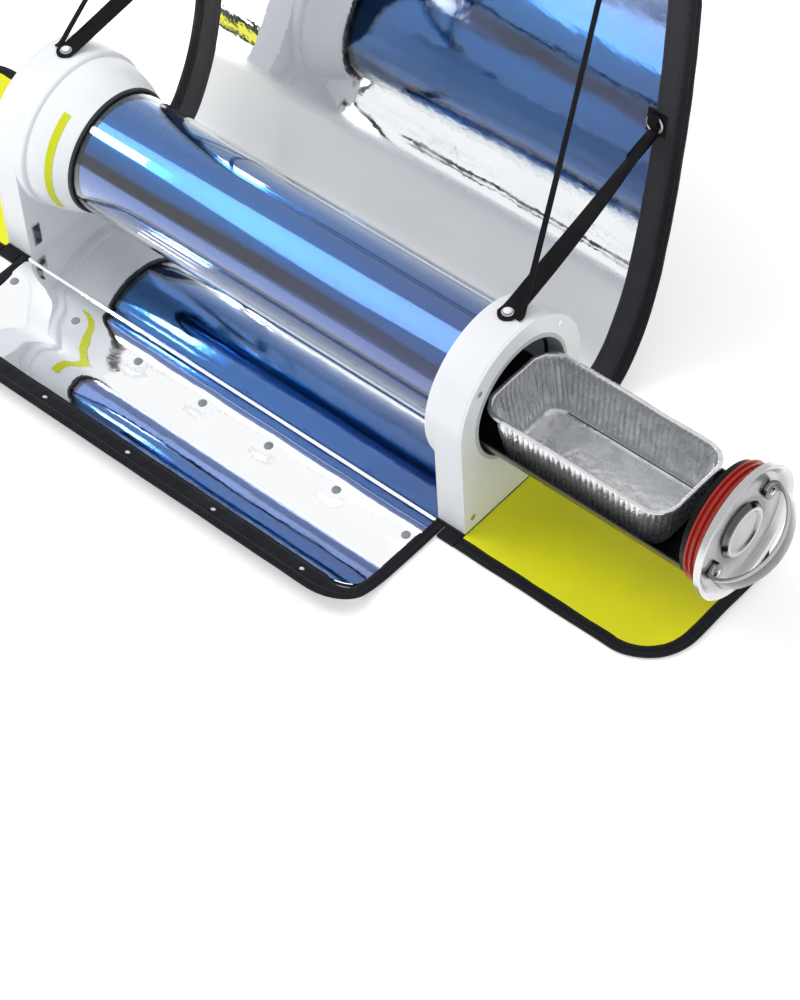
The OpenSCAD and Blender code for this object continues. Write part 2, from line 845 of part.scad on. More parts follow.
module strap_tabs() {
    color("black") for (side = [-1, 1]) {
        on_back_sheet(side * tab_x, tab_at, border_top + 0.1)
            translate([-tab_size / 2, -tab_size / 2, 0]) cube([tab_size, tab_size, tab_t]);
    }
}

module tab_rings() {
    color("silver") for (side = [-1, 1]) {
        on_back_sheet(side * tab_x, tab_at, border_top + 0.2 + tab_t + ring_wire)
            rotate_extrude($fn = 48) translate([ring_r, 0]) circle(ring_wire, $fn = 24);
    }
}

module thin_strap_tabs() {
    color("black") for (x = [thin_top_right, thin_top_left]) {
        on_back_sheet(x, thin_tab_at, border_top + 0.1)
            translate([-thin_tab / 2, -thin_tab / 2, 0]) cube([thin_tab, thin_tab, tab_t]);
    }
}

module right_flap_shell() { color("black") flap_shell_part(); }
module right_flap_lining() { color("yellow") flap_lining_part(); }
module right_flap_binding() { color("black") flap_binding_part(); }
module left_flap_shell() { color("black") mirror([1, 0, 0]) flap_shell_part(); }
module left_flap_lining() { color("yellow") mirror([1, 0, 0]) flap_lining_part(); }
module left_flap_binding() { color("black") mirror([1, 0, 0]) flap_binding_part(); }

// A flat strap from the top of a support to a place on the back wing, both given in X, Y and Z
module strap_2d(y0, z0, y1, z1) {
    polygon([[-10, z0], [y0, z0], [y1, z1], [y1, z1 + strap_t], [y0, z0 + strap_t], [-10, z0 + strap_t]]);
}
tab_place = back_point(tab_at, border_top + tab_t + 2 * ring_wire + strap_t + 0.6);
module wide_strap() {
    difference() {
        along(stud_x - strap_w / 2, stud_x + strap_w / 2)
            strap_2d(stud_y + 10, strap_z, base_y + crease + tab_place[0], tab_place[1]);
        translate([stud_x, stud_y, strap_z - 1]) cylinder(r = 4.1, h = 8, $fn = 32);
    }
}
thin_place = back_point(thin_tab_at, border_top + tab_t + 2 * strap_t);
// A thin strap leans along the tube as it climbs, so it is drawn in a plane turned about Z
module thin_strap(x0, x1) {
    y0 = thin_y;
    y1 = base_y + crease + thin_place[0];
    turn = atan2(x0 - x1, y1 - y0);
    run = sqrt((x1 - x0) * (x1 - x0) + (y1 - y0) * (y1 - y0));
    translate([x0, y0, 0]) rotate([0, 0, turn]) along(-thin_w / 2, thin_w / 2)
        polygon([[0, strap_z], [run, thin_place[1]], [run, thin_place[1] + 2 * strap_t], [0, strap_top]]);
}
module right_wide_strap() { color("black") wide_strap(); }
module left_wide_strap() { color("black") mirror([1, 0, 0]) wide_strap(); }
module right_thin_strap() { color("black") thin_strap(thin_x, thin_top_right); }
module left_thin_strap() { color("black") thin_strap(-thin_x, thin_top_left); }

base_shell();
base_mirror();
base_edge_strips();
right_support_body();
right_support_face();
mouth_gasket();
right_tube_bushing();
left_support_body();
left_support_cover();
left_collar();
collar_stripe();
collar_ring();
left_tube_cushion();
latch_plate();
latch_screws();
cover_screws();
base_screws();
outer_glass_tube();
absorber_tube();
getter_clip();
tip_cap();
strap_studs();
strap_grommets();
tray_trough();
tray_plug();
silicone_seal();
end_plate();
handle();
handle_rivets();
loaf_pan();
front_wing_shell();
front_wing_mirror();
front_wing_binding();
front_wing_rivets();
front_wing_tacks();
back_wing_shell();
back_wing_mirror();
back_wing_border();
back_wing_binding();
strap_tabs();
tab_rings();
thin_strap_tabs();
right_flap_shell();
right_flap_lining();
right_flap_binding();
left_flap_shell();
left_flap_lining();
left_flap_binding();
right_wide_strap();
left_wide_strap();
right_thin_strap();
left_thin_strap();
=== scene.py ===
import bmesh
import bpy
import math
from mathutils import Matrix, Vector, noise


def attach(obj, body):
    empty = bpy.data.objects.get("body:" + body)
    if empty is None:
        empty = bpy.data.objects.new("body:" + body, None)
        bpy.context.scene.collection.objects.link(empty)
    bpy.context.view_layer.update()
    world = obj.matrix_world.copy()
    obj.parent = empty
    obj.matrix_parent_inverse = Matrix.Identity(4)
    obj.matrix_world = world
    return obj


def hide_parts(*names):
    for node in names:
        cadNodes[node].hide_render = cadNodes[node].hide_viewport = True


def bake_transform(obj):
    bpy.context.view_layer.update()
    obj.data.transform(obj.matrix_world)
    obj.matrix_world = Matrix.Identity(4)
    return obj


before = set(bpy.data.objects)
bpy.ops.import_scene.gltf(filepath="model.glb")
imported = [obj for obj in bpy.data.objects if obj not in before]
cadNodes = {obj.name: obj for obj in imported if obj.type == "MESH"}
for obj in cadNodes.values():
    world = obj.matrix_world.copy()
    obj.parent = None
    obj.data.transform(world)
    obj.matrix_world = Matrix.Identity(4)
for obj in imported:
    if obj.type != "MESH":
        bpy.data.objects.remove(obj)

scene = bpy.context.scene
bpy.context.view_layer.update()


# The camera stands where the photograph was taken from
camera = {"azimuth": 44.41, "elevation": 49.87, "roll": -4.14, "lens": 139.3, "place": (1.6415, -1.5223, 2.3719)}


def addCamera():
    az, el, roll = (math.radians(camera[k]) for k in ("azimuth", "elevation", "roll"))
    back = Vector((math.sin(az) * math.cos(el), -math.cos(az) * math.cos(el), math.sin(el)))
    right = Vector((math.cos(az), math.sin(az), 0))
    up = back.cross(right)
    side = math.cos(roll) * right + math.sin(roll) * up
    top = math.cos(roll) * up - math.sin(roll) * right
    bpy.ops.object.camera_add(location=camera["place"])
    cam = bpy.context.object
    cam.rotation_euler = Matrix((side, top, back)).transposed().to_euler()
    cam.data.sensor_fit = "HORIZONTAL"
    cam.data.lens = camera["lens"]
    cam.data.clip_end = 50
    scene.camera = cam


addCamera()
print("camera placed")


# Helpers for selecting, editing and finishing

def letGo():
    if bpy.context.mode != "OBJECT":
        bpy.ops.object.mode_set(mode="OBJECT")
    bpy.ops.object.select_all(action="DESELECT")


def take(obj):
    letGo()
    obj.select_set(True)
    bpy.context.view_layer.objects.active = obj


def startEdit(obj, action="SELECT"):
    take(obj)
    bpy.ops.object.mode_set(mode="EDIT")
    bpy.ops.mesh.select_mode(type="VERT")
    bpy.ops.mesh.select_all(action=action)


def stopEdit():
    bpy.ops.object.mode_set(mode="OBJECT")


def pick(obj, kind, wanted):  # selects what the test wants, in edit mode
    bpy.ops.mesh.select_mode(type=kind)
    bpy.ops.mesh.select_all(action="DESELECT")
    mesh = bmesh.from_edit_mesh(obj.data)
    for part in {"VERT": mesh.verts, "EDGE": mesh.edges, "FACE": mesh.faces}[kind]:
        if wanted(part):
            part.select = True
    mesh.select_flush_mode()
    bmesh.update_edit_mesh(obj.data)


def pickOpenEdges():
    bpy.ops.mesh.select_mode(type="EDGE")
    bpy.ops.mesh.select_all(action="DESELECT")
    bpy.ops.mesh.select_non_manifold(use_wire=False, use_multi_face=False, use_non_contiguous=False, use_verts=False)


def cutAt(obj, axis, places):  # runs new edges across the whole piece
    startEdit(obj)
    for place in places:
        bpy.ops.mesh.select_all(action="SELECT")
        bpy.ops.mesh.bisect(plane_co=[place if i == axis else 0 for i in range(3)],
                            plane_no=[1 if i == axis else 0 for i in range(3)])
    stopEdit()


def steps(low, high, pitch):
    count = max(1, round((high - low) / pitch))
    return [low + (high - low) * i / count for i in range(1, count)]


def addModifier(obj, kind, **settings):
    take(obj)
    modifier = obj.modifiers.new(kind.lower(), kind)
    for key, value in settings.items():
        setattr(modifier, key, value)
    bpy.ops.object.modifier_apply(modifier=modifier.name)


def faceOutwards(obj):
    startEdit(obj)
    bpy.ops.mesh.remove_doubles(threshold=0.00001)
    bpy.ops.mesh.select_all(action="SELECT")
    bpy.ops.mesh.normals_make_consistent(inside=False)
    stopEdit()


def smooth(obj, angle=40):
    take(obj)
    bpy.ops.object.shade_smooth_by_angle(angle=math.radians(angle), keep_sharp_edges=False)


def finishPiece(obj, material, body=None, replaced=()):
    obj.data.materials.clear()
    obj.data.materials.append(material)
    if body:
        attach(obj, body)
    if replaced:
        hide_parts(*replaced)
    return obj


# Helpers for materials

def plug(tree, socket, value):
    if isinstance(value, bpy.types.NodeSocket):
        tree.links.new(value, socket)
    elif socket.type == "RGBA" and len(value) == 3:
        socket.default_value = (*value, 1)
    else:
        socket.default_value = value


def addNode(tree, kind, inputs=None, **settings):
    fresh = tree.nodes.new(kind)
    for key, value in settings.items():
        setattr(fresh, key, value)
    for key, value in (inputs or {}).items():
        plug(tree, fresh.inputs[key], value)
    return fresh


def count(tree, operation, *values, clamp=False):
    fresh = addNode(tree, "ShaderNodeMath", operation=operation, use_clamp=clamp)
    for socket, value in zip(fresh.inputs, values):
        plug(tree, socket, value)
    return fresh.outputs[0]


def blendColours(tree, share, first, second):
    fresh = addNode(tree, "ShaderNodeMix", data_type="RGBA")
    for socket, value in ((fresh.inputs[0], share), (fresh.inputs[6], first), (fresh.inputs[7], second)):
        plug(tree, socket, value)
    return fresh.outputs[2]


def countVectors(tree, operation, *values):
    return addNode(tree, "ShaderNodeVectorMath", dict(enumerate(values)), operation=operation).outputs


def times(tree, first, second):
    return count(tree, "MULTIPLY", first, second)


def axes(tree, place):
    return addNode(tree, "ShaderNodeSeparateXYZ", {0: place}).outputs


def cloudNoise(tree, place, scale, detail, roughness=0.5):
    inputs = {"Vector": place, "Scale": scale, "Detail": detail, "Roughness": roughness}
    return addNode(tree, "ShaderNodeTexNoise", inputs).outputs["Fac"]


def spread(tree, value, low, high, toLow=0, toHigh=1):
    inputs = {"Value": value, "From Min": low, "From Max": high, "To Min": toLow, "To Max": toHigh}
    return addNode(tree, "ShaderNodeMapRange", inputs).outputs[0]


def colourStops(tree, value, stops):  # one colour for each share of the way
    ramp = addNode(tree, "ShaderNodeValToRGB", {"Fac": value})
    marks = ramp.color_ramp.elements
    while len(marks) < len(stops):
        marks.new(0.5)
    for mark, (share, colour) in zip(marks, stops):
        mark.position = share
        mark.color = (*colour, 1)
    return ramp.outputs["Color"]


def startGroup(name, inputs, outputs):
    tree = bpy.data.node_groups.new(name, "ShaderNodeTree")
    for label, kind, value in inputs:
        socket = tree.interface.new_socket(label, in_out="INPUT", socket_type="NodeSocket" + kind)
        if value is not None:
            socket.default_value = value
    for label, kind in outputs:
        tree.interface.new_socket(label, in_out="OUTPUT", socket_type="NodeSocket" + kind)
    return tree, tree.nodes.new("NodeGroupInput").outputs, tree.nodes.new("NodeGroupOutput").inputs


def useGroup(tree, group, inputs):
    return addNode(tree, "ShaderNodeGroup", inputs, node_tree=group).outputs


def grainGroup():  # fine moulded or rubbed grain, with a slow change of tone
    tree, start, end = startGroup("fineGrain", [("Vector", "Vector", None), ("Size", "Float", 0.001)],
                                  [("Height", "Float"), ("Tone", "Float")])
    scale = count(tree, "DIVIDE", 1, start["Size"])
    plug(tree, end["Height"], cloudNoise(tree, start["Vector"], scale, 3, 0.6))
    plug(tree, end["Tone"], spread(tree, cloudNoise(tree, start["Vector"], 14, 4, 0.55), 0.3, 0.7))
    return tree


def edgeGroup():  # rounds the look of edges, and says where they are rubbed
    tree, start, end = startGroup("roundEdges", [("Radius", "Float", 0.001)], [("Normal", "Vector"), ("Rub", "Float")])
    bevel = addNode(tree, "ShaderNodeBevel", {"Radius": start["Radius"]}, samples=6)
    flat = addNode(tree, "ShaderNodeNewGeometry")
    along = countVectors(tree, "DOT_PRODUCT", bevel.outputs[0], flat.outputs["Normal"])["Value"]
    plug(tree, end["Normal"], bevel.outputs[0])
    plug(tree, end["Rub"], spread(tree, along, 0.998, 0.9))
    return tree


def weaveGroup():  # plain weave, from a place in metres
    tree, start, end = startGroup("plainWeave", [("Vector", "Vector", None), ("Pitch", "Float", 0.0006)],
                                  [("Height", "Float"), ("Thread", "Float")])
    place = axes(tree, start["Vector"])
    turn = count(tree, "DIVIDE", math.pi, start["Pitch"])
    both = times(tree, *(count(tree, "SINE", times(tree, place[axis], turn)) for axis in ("X", "Y")))
    thread = count(tree, "MULTIPLY_ADD", both, 0.5, 0.5)
    uneven = cloudNoise(tree, start["Vector"], 900, 2)
    plug(tree, end["Height"], count(tree, "MULTIPLY_ADD", uneven, 0.5, thread))
    plug(tree, end["Thread"], thread)
    return tree


def stitchGroup():  # one row of stitches: U runs along it and V across it, in metres
    tree, start, end = startGroup("stitchRow", [("Vector", "Vector", None), ("Row", "Float", 0.003),
                                                ("Pitch", "Float", 0.0035), ("Width", "Float", 0.0005)],
                                  [("Mask", "Float"), ("Height", "Float")])
    place = axes(tree, start["Vector"])
    share = count(tree, "FRACT", count(tree, "DIVIDE", place["X"], start["Pitch"]))
    dash = spread(tree, count(tree, "ABSOLUTE", count(tree, "SUBTRACT", share, 0.5)), 0.27, 0.36, 1, 0)
    away = count(tree, "ABSOLUTE", count(tree, "SUBTRACT", place["Y"], start["Row"]))
    away = count(tree, "DIVIDE", away, start["Width"])
    mask = times(tree, dash, spread(tree, away, 0.6, 1.1, 1, 0))
    plug(tree, end["Mask"], mask)
    plug(tree, end["Height"], count(tree, "SUBTRACT", times(tree, mask, 0.8), spread(tree, away, 1, 4, 1, 0)))
    return tree


def smudgeGroup():  # soft handling marks
    tree, start, end = startGroup("handMarks", [("Vector", "Vector", None), ("Scale", "Float", 18.0),
                                                ("Low", "Float", 0.0), ("High", "Float", 1.0)],
                                  [("Value", "Float"), ("Mask", "Float")])
    cloud = addNode(tree, "ShaderNodeTexNoise", {"Vector": start["Vector"], "Scale": start["Scale"], "Detail": 5,
                                                 "Roughness": 0.6, "Distortion": 0.4})
    mask = spread(tree, cloud.outputs["Fac"], 0.42, 0.68)
    span = count(tree, "SUBTRACT", start["High"], start["Low"])
    plug(tree, end["Value"], count(tree, "MULTIPLY_ADD", mask, span, start["Low"]))
    plug(tree, end["Mask"], mask)
    return tree


def puckerGroup():  # short ripples across a sewn tape: U runs along it
    tree, start, end = startGroup("sewnPuckers", [("Vector", "Vector", None), ("Pitch", "Float", 0.008)],
                                  [("Height", "Float")])
    place = axes(tree, start["Vector"])
    along = count(tree, "DIVIDE", place["X"], start["Pitch"])
    spot = addNode(tree, "ShaderNodeCombineXYZ", {0: along, 1: times(tree, place["Y"], 45)})
    plug(tree, end["Height"], cloudNoise(tree, spot.outputs[0], 1.0, 3))
    return tree


def crumpleGroup():  # sharp small folds of foil
    tree, start, end = startGroup("foilCrumple", [("Vector", "Vector", None), ("Scale", "Float", 90.0)],
                                  [("Height", "Float")])
    folds = addNode(tree, "ShaderNodeTexVoronoi", {"Vector": start["Vector"], "Scale": start["Scale"]},
                    feature="DISTANCE_TO_EDGE")
    cloud = cloudNoise(tree, start["Vector"], times(tree, start["Scale"], 0.7), 4, 0.65)
    plug(tree, end["Height"], count(tree, "ADD", cloud, times(tree, folds.outputs["Distance"], 0.8)))
    return tree


fineGrain = grainGroup()
roundEdges = edgeGroup()
plainWeave = weaveGroup()
stitchRow = stitchGroup()
handMarks = smudgeGroup()
sewnPuckers = puckerGroup()
foilCrumple = crumpleGroup()


def newMaterial(name, **sockets):
    material = bpy.data.materials.new(name)
    material.use_nodes = True
    tree = material.node_tree
    shader = tree.nodes["Principled BSDF"]
    for key, value in sockets.items():
        plug(tree, shader.inputs[key.replace("_", " ")], value)
    return material, tree, shader.inputs


def ownPlace(tree):
    return addNode(tree, "ShaderNodeTexCoord").outputs["Object"]


def flatPlace(tree):
    return addNode(tree, "ShaderNodeUVMap", uv_map="flat").outputs["UV"]


def raised(tree, height, strength, distance, normal=None):
    bump = addNode(tree, "ShaderNodeBump", {"Height": height, "Strength": strength, "Distance": distance})
    if normal is not None:
        plug(tree, bump.inputs["Normal"], normal)
    return bump.outputs[0]


whiteShell = {"low": (0.82, 0.85, 0.9), "high": (0.9, 0.92, 0.95), "edge": 0.0014, "grain": 0.0009}


def grainedSurface(name, colours, grain, marks, edge, rub, lift, depth=0.0002, **sockets):
    material, tree, shader = newMaterial(name, **sockets)
    place = ownPlace(tree)
    texture = useGroup(tree, fineGrain, {"Vector": place, "Size": grain})
    wear = useGroup(tree, handMarks, {"Vector": place, "Scale": marks[0], "Low": marks[1], "High": marks[2]})
    corner = useGroup(tree, roundEdges, {"Radius": edge})
    body = blendColours(tree, texture["Tone"], *colours)
    plug(tree, shader["Base Color"], blendColours(tree, times(tree, corner["Rub"], rub[0]), body, rub[1]))
    plug(tree, shader["Roughness"], wear["Value"])
    plug(tree, shader["Normal"], raised(tree, texture["Height"], lift, depth, corner["Normal"]))
    return material


def mouldedPlastic(name, low, high, edge, grain, roughness=(0.3, 0.46), shine=0.45):
    rubbed = tuple(min(1, c * 1.15 + 0.01) for c in high)
    return grainedSurface(name, (low, high), grain, (9.0, *roughness), edge, (0.25, rubbed), 0.08,
                          Specular_IOR_Level=shine)


def softRubber(name, low, high, roughness=(0.4, 0.6), rubbed=None):
    rubbed = rubbed or tuple(min(1, c * 1.6 + 0.02) for c in high)
    return grainedSurface(name, (low, high), 0.0012, (30.0, *roughness), 0.0005, (0.35, rubbed), 0.1,
                          Specular_IOR_Level=0.4)


def blackEnamel():
    colours = ((0.008, 0.009, 0.014), (0.02, 0.021, 0.028))
    return grainedSurface("blackEnamel", colours, 0.0016, (24.0, 0.28, 0.5), 0.0006, (0.5, (0.16, 0.16, 0.17)), 0.15,
                          0.0003, Coat_Weight=0.3, Coat_Roughness=0.2)


def wovenCloth(name, dark, light, pitch, sheen):
    material, tree, shader = newMaterial(name, Sheen_Weight=sheen, Sheen_Roughness=0.4, Specular_IOR_Level=0.25)
    place = flatPlace(tree)
    weave = useGroup(tree, plainWeave, {"Vector": place, "Pitch": pitch})
    wear = useGroup(tree, handMarks, {"Vector": place, "Scale": 22.0, "Low": 0.7, "High": 0.9})
    thread = blendColours(tree, weave["Thread"], dark, light)
    plug(tree, shader["Base Color"], blendColours(tree, times(tree, wear["Mask"], 0.35), thread, light))
    plug(tree, shader["Roughness"], wear["Value"])
    plug(tree, shader["Normal"], raised(tree, weave["Height"], 0.4, 0.00025))
    return material


def sewnTape(name, dark, light, rows, thread, pitch=0.0007):
    material, tree, shader = newMaterial(name, Sheen_Weight=0.04, Sheen_Roughness=0.35, Specular_IOR_Level=0.18)
    place = flatPlace(tree)
    weave = useGroup(tree, plainWeave, {"Vector": place, "Pitch": pitch})
    ripple = useGroup(tree, sewnPuckers, {"Vector": place, "Pitch": 0.009})
    wear = useGroup(tree, handMarks, {"Vector": place, "Scale": 30.0, "Low": 0.55, "High": 0.8})
    colour = blendColours(tree, weave["Thread"], dark, light)
    colour = blendColours(tree, times(tree, wear["Mask"], 0.4), colour, light)
    height = count(tree, "MULTIPLY_ADD", ripple["Height"], 4.0, times(tree, weave["Height"], 0.35))
    for row in rows:
        seam = useGroup(tree, stitchRow, {"Vector": place, "Row": row})
        colour = blendColours(tree, times(tree, seam["Mask"], 0.8), colour, thread)
        height = count(tree, "ADD", height, seam["Height"])
    plug(tree, shader["Base Color"], colour)
    plug(tree, shader["Roughness"], wear["Value"])
    plug(tree, shader["Normal"], raised(tree, height, 0.55, 0.0004))
    return material


def mirrorFilm(name="mirrorFilm", matt=None):
    material, tree, shader = newMaterial(name, Metallic=1.0)
    place = ownPlace(tree)
    marks = useGroup(tree, handMarks, {"Vector": place, "Scale": 12.0, "Low": 0.02, "High": 0.075})
    grain = useGroup(tree, fineGrain, {"Vector": place, "Size": 0.03})
    plug(tree, shader["Base Color"], blendColours(tree, grain["Tone"], (0.925, 0.94, 0.96), (0.955, 0.965, 0.975)))
    plug(tree, shader["Normal"], raised(tree, grain["Height"], 0.08, 0.0012))
    if not matt:
        plug(tree, shader["Roughness"], marks["Value"])
        return material
    along = axes(tree, flatPlace(tree))["Y"]  # the film is matt next to the crease
    dull = spread(tree, count(tree, "MULTIPLY_ADD", marks["Mask"], 0.004, along), matt[0], matt[1], 1, 0)
    plug(tree, shader["Roughness"], count(tree, "MULTIPLY_ADD", dull, 0.5, marks["Value"]))
    plug(tree, shader["Metallic"], count(tree, "MULTIPLY_ADD", dull, -0.55, 1))
    return material


def limeCloth():
    material, tree, shader = newMaterial("limeLining", Sheen_Weight=0.15, Sheen_Roughness=0.5, Specular_IOR_Level=0.35)
    place = flatPlace(tree)
    weave = useGroup(tree, plainWeave, {"Vector": place, "Pitch": 0.0005})
    cloud = useGroup(tree, handMarks, {"Vector": place, "Scale": 16.0, "Low": 0.42, "High": 0.6})
    grain = useGroup(tree, fineGrain, {"Vector": place, "Size": 0.012})
    colour = blendColours(tree, weave["Thread"], (0.8, 0.8, 0.005), (0.9, 0.89, 0.008))
    colour = blendColours(tree, times(tree, cloud["Mask"], 0.4), colour, (0.72, 0.7, 0.004))
    plug(tree, shader["Base Color"], colour)
    plug(tree, shader["Roughness"], cloud["Value"])
    height = count(tree, "MULTIPLY_ADD", grain["Height"], 3.0, times(tree, weave["Height"], 0.4))
    plug(tree, shader["Normal"], raised(tree, height, 0.35, 0.0005))
    return material


def webbing():
    material, tree, shader = newMaterial("strapWebbing", Sheen_Weight=0.03, Sheen_Roughness=0.4,
                                         Specular_IOR_Level=0.12)
    place = flatPlace(tree)
    spot = axes(tree, place)
    slant = count(tree, "ADD", spot["X"], count(tree, "ABSOLUTE", spot["Y"]))
    rib = count(tree, "SINE", times(tree, slant, math.pi / 0.0007))
    weave = useGroup(tree, plainWeave, {"Vector": place, "Pitch": 0.0012})
    wear = useGroup(tree, handMarks, {"Vector": place, "Scale": 40.0, "Low": 0.6, "High": 0.85})
    ridge = count(tree, "MULTIPLY_ADD", rib, 0.5, 0.5)
    tone = times(tree, ridge, weave["Thread"])
    plug(tree, shader["Base Color"], blendColours(tree, tone, (0.003, 0.003, 0.004), (0.02, 0.02, 0.023)))
    plug(tree, shader["Roughness"], wear["Value"])
    plug(tree, shader["Normal"], raised(tree, count(tree, "ADD", ridge, weave["Height"]), 0.5, 0.0003))
    return material


# The end plate's painted reflection rings: its grey tone from its middle out, as a share of its radius
platePaintedReflections = ((0, 0.28), (0.28, 0.238), (0.35, 0.35), (0.385, 0.042), (0.48, 0.07), (0.56, 0.182), (0.74, 0.266),
              (0.88, 0.322), (0.93, 0.462), (1, 0.49))
plateRadius = 0.073


def brushedSteel(name, colour=(0.5, 0.5, 0.51), roughness=(0.16, 0.34), edge=0.0006, centre=None, paintedReflectionRings=None,
                 paintedSideShade=None):
    material, tree, shader = newMaterial(name, Metallic=1.0)
    place = ownPlace(tree)
    if centre:  # turned finish: the marks run round the centre
        flat = countVectors(tree, "MULTIPLY", countVectors(tree, "SUBTRACT", place, centre)[0], (0, 1, 1))[0]
        radius = countVectors(tree, "LENGTH", flat)["Value"]
        spot = addNode(tree, "ShaderNodeCombineXYZ", {0: times(tree, radius, 900), 1: 0.3}).outputs[0]
    else:
        spot = addNode(tree, "ShaderNodeMapping", {"Vector": place, "Scale": (3, 260, 260)}).outputs[0]
    line = cloudNoise(tree, spot, 1.0, 4, 0.7)
    marks = useGroup(tree, handMarks, {"Vector": place, "Scale": 35.0, "Low": roughness[0], "High": roughness[1]})
    corner = useGroup(tree, roundEdges, {"Radius": edge})
    if paintedReflectionRings:
        # painted reflection: light and dark rings in the plate's colour, by radius
        stops = [(share, (tone, tone, tone * 1.02)) for share, tone in paintedReflectionRings]
        ring = colourStops(tree, count(tree, "DIVIDE", radius, plateRadius), stops)
        body = blendColours(tree, times(tree, line, 0.25), ring, colour)
    elif paintedSideShade:  # painted shade: a flat bar is darker on its broad sides, and its narrow edges keep a painted highlight
        side = countVectors(tree, "DOT_PRODUCT", place, paintedSideShade["across"])["Value"]
        off = count(tree, "ABSOLUTE", count(tree, "SUBTRACT", side, paintedSideShade["middle"]))
        share = spread(tree, off, paintedSideShade["half"] - 0.0009, paintedSideShade["half"] - 0.0004)
        body = blendColours(tree, share, blendColours(tree, line, paintedSideShade["dark"], paintedSideShade["light"]), colour)
    else:
        body = blendColours(tree, line, *(tuple(min(1, c * part) for c in colour) for part in (0.86, 1.15)))
    plug(tree, shader["Base Color"], body)
    plug(tree, shader["Roughness"], marks["Value"])
    plug(tree, shader["Normal"], raised(tree, line, 0.12, 0.0002, corner["Normal"]))
    return material


def clearGlass():
    material, tree, shader = newMaterial("clearGlass", Transmission_Weight=1.0, IOR=1.47)
    place = ownPlace(tree)
    marks = useGroup(tree, handMarks, {"Vector": place, "Scale": 8.0, "Low": 0.0, "High": 0.015})
    plug(tree, shader["Base Color"], blendColours(tree, marks["Mask"], (0.97, 0.99, 1.0), (0.94, 0.97, 0.99)))
    plug(tree, shader["Roughness"], marks["Value"])
    return material


# Angle round the tube from the back, in degrees, and the colour there: the coating's own blue, with bands of painted
# reflection and dark painted reflected lines
coating = {"axis": 0.132, "bore": 0.0628, "paintedReflectionBands": (
    (0, (0.015, 0.151, 0.454)), (26, (0.015, 0.151, 0.454)), (31, (0.006, 0.012, 0.04)), (38, (0.006, 0.012, 0.04)),
    (44, (0.01, 0.139, 0.416)), (60, (0.015, 0.176, 0.504)), (75, (0.01, 0.151, 0.466)), (92, (0.007, 0.113, 0.391)),
    (104, (0.01, 0.151, 0.479)), (120, (0.015, 0.189, 0.542)), (136, (0.007, 0.113, 0.378)),
    (142, (0.003, 0.004, 0.012)), (149, (0.003, 0.004, 0.01)), (156, (0.03, 0.08, 0.25)), (176, (0.06, 0.13, 0.34)),
    (200, (0.1, 0.16, 0.37)), (230, (0.01, 0.164, 0.529)), (300, (0.01, 0.164, 0.529)), (330, (0.013, 0.151, 0.454)))}


def blueCoating():
    material, tree, shader = newMaterial("blueCoating", Coat_Weight=0.1, Coat_Roughness=0.03)
    place = ownPlace(tree)
    spot = axes(tree, place)
    height = count(tree, "SUBTRACT", spot["Z"], coating["axis"])
    angle = count(tree, "DIVIDE", count(tree, "ARCTAN2", height, spot["Y"]), 2 * math.pi)
    turn = count(tree, "FRACT", count(tree, "ADD", angle, 1))
    # painted reflection streaks: noise stretched along the tube wavers the band edges and darkens long stripes
    long = addNode(tree, "ShaderNodeMapping", {"Vector": place, "Scale": (2.5, 60, 60)}).outputs[0]
    streak = cloudNoise(tree, long, 1.0, 4, 0.6)
    waved = count(tree, "ADD", turn, spread(tree, streak, 0.3, 0.7, -0.012, 0.012))
    # painted reflection: light and dark bands round the tube, set by angle, over the coating's own blue
    paintedReflectionBands = colourStops(tree, waved, [(degrees / 360, colour) for degrees, colour in coating["paintedReflectionBands"]])
    # painted shade: the coating is darkened towards the tube's open end
    paintedShadeToMouth = spread(tree, spot["X"], 0.02, 0.3, 0, 0.55)
    colour = blendColours(tree, paintedShadeToMouth, paintedReflectionBands, (0.03, 0.035, 0.17))
    paintedReflectionStreaks = blendColours(tree, spread(tree, streak, 0.35, 0.65, 0, 0.25), colour, (0.01, 0.05, 0.2))
    marks = useGroup(tree, handMarks, {"Vector": place, "Scale": 6.0, "Low": 0.06, "High": 0.14})
    square = count(tree, "ADD", times(tree, height, height), times(tree, spot["Y"], spot["Y"]))
    bore = count(tree, "LESS_THAN", count(tree, "SQRT", square), coating["bore"])  # bare grey glass inside the mouth
    pale = times(tree, bore, spread(tree, spot["X"], 0.2, 0.285))
    plug(tree, shader["Base Color"], blendColours(tree, pale, paintedReflectionStreaks, (0.62, 0.65, 0.69)))
    plug(tree, shader["Metallic"], count(tree, "MULTIPLY_ADD", pale, -0.85, 0.85))
    plug(tree, shader["Roughness"], marks["Value"])
    return material


def bakingFoil():
    material, tree, shader = newMaterial("bakingFoil", Metallic=0.78)
    place = ownPlace(tree)
    folds = useGroup(tree, foilCrumple, {"Vector": place, "Scale": 85.0})
    marks = useGroup(tree, handMarks, {"Vector": place, "Scale": 60.0, "Low": 0.18, "High": 0.36})
    plug(tree, shader["Base Color"], blendColours(tree, marks["Mask"], (0.7, 0.71, 0.72), (0.56, 0.57, 0.59)))
    plug(tree, shader["Roughness"], marks["Value"])
    plug(tree, shader["Normal"], raised(tree, folds["Height"], 0.35, 0.0016))
    return material


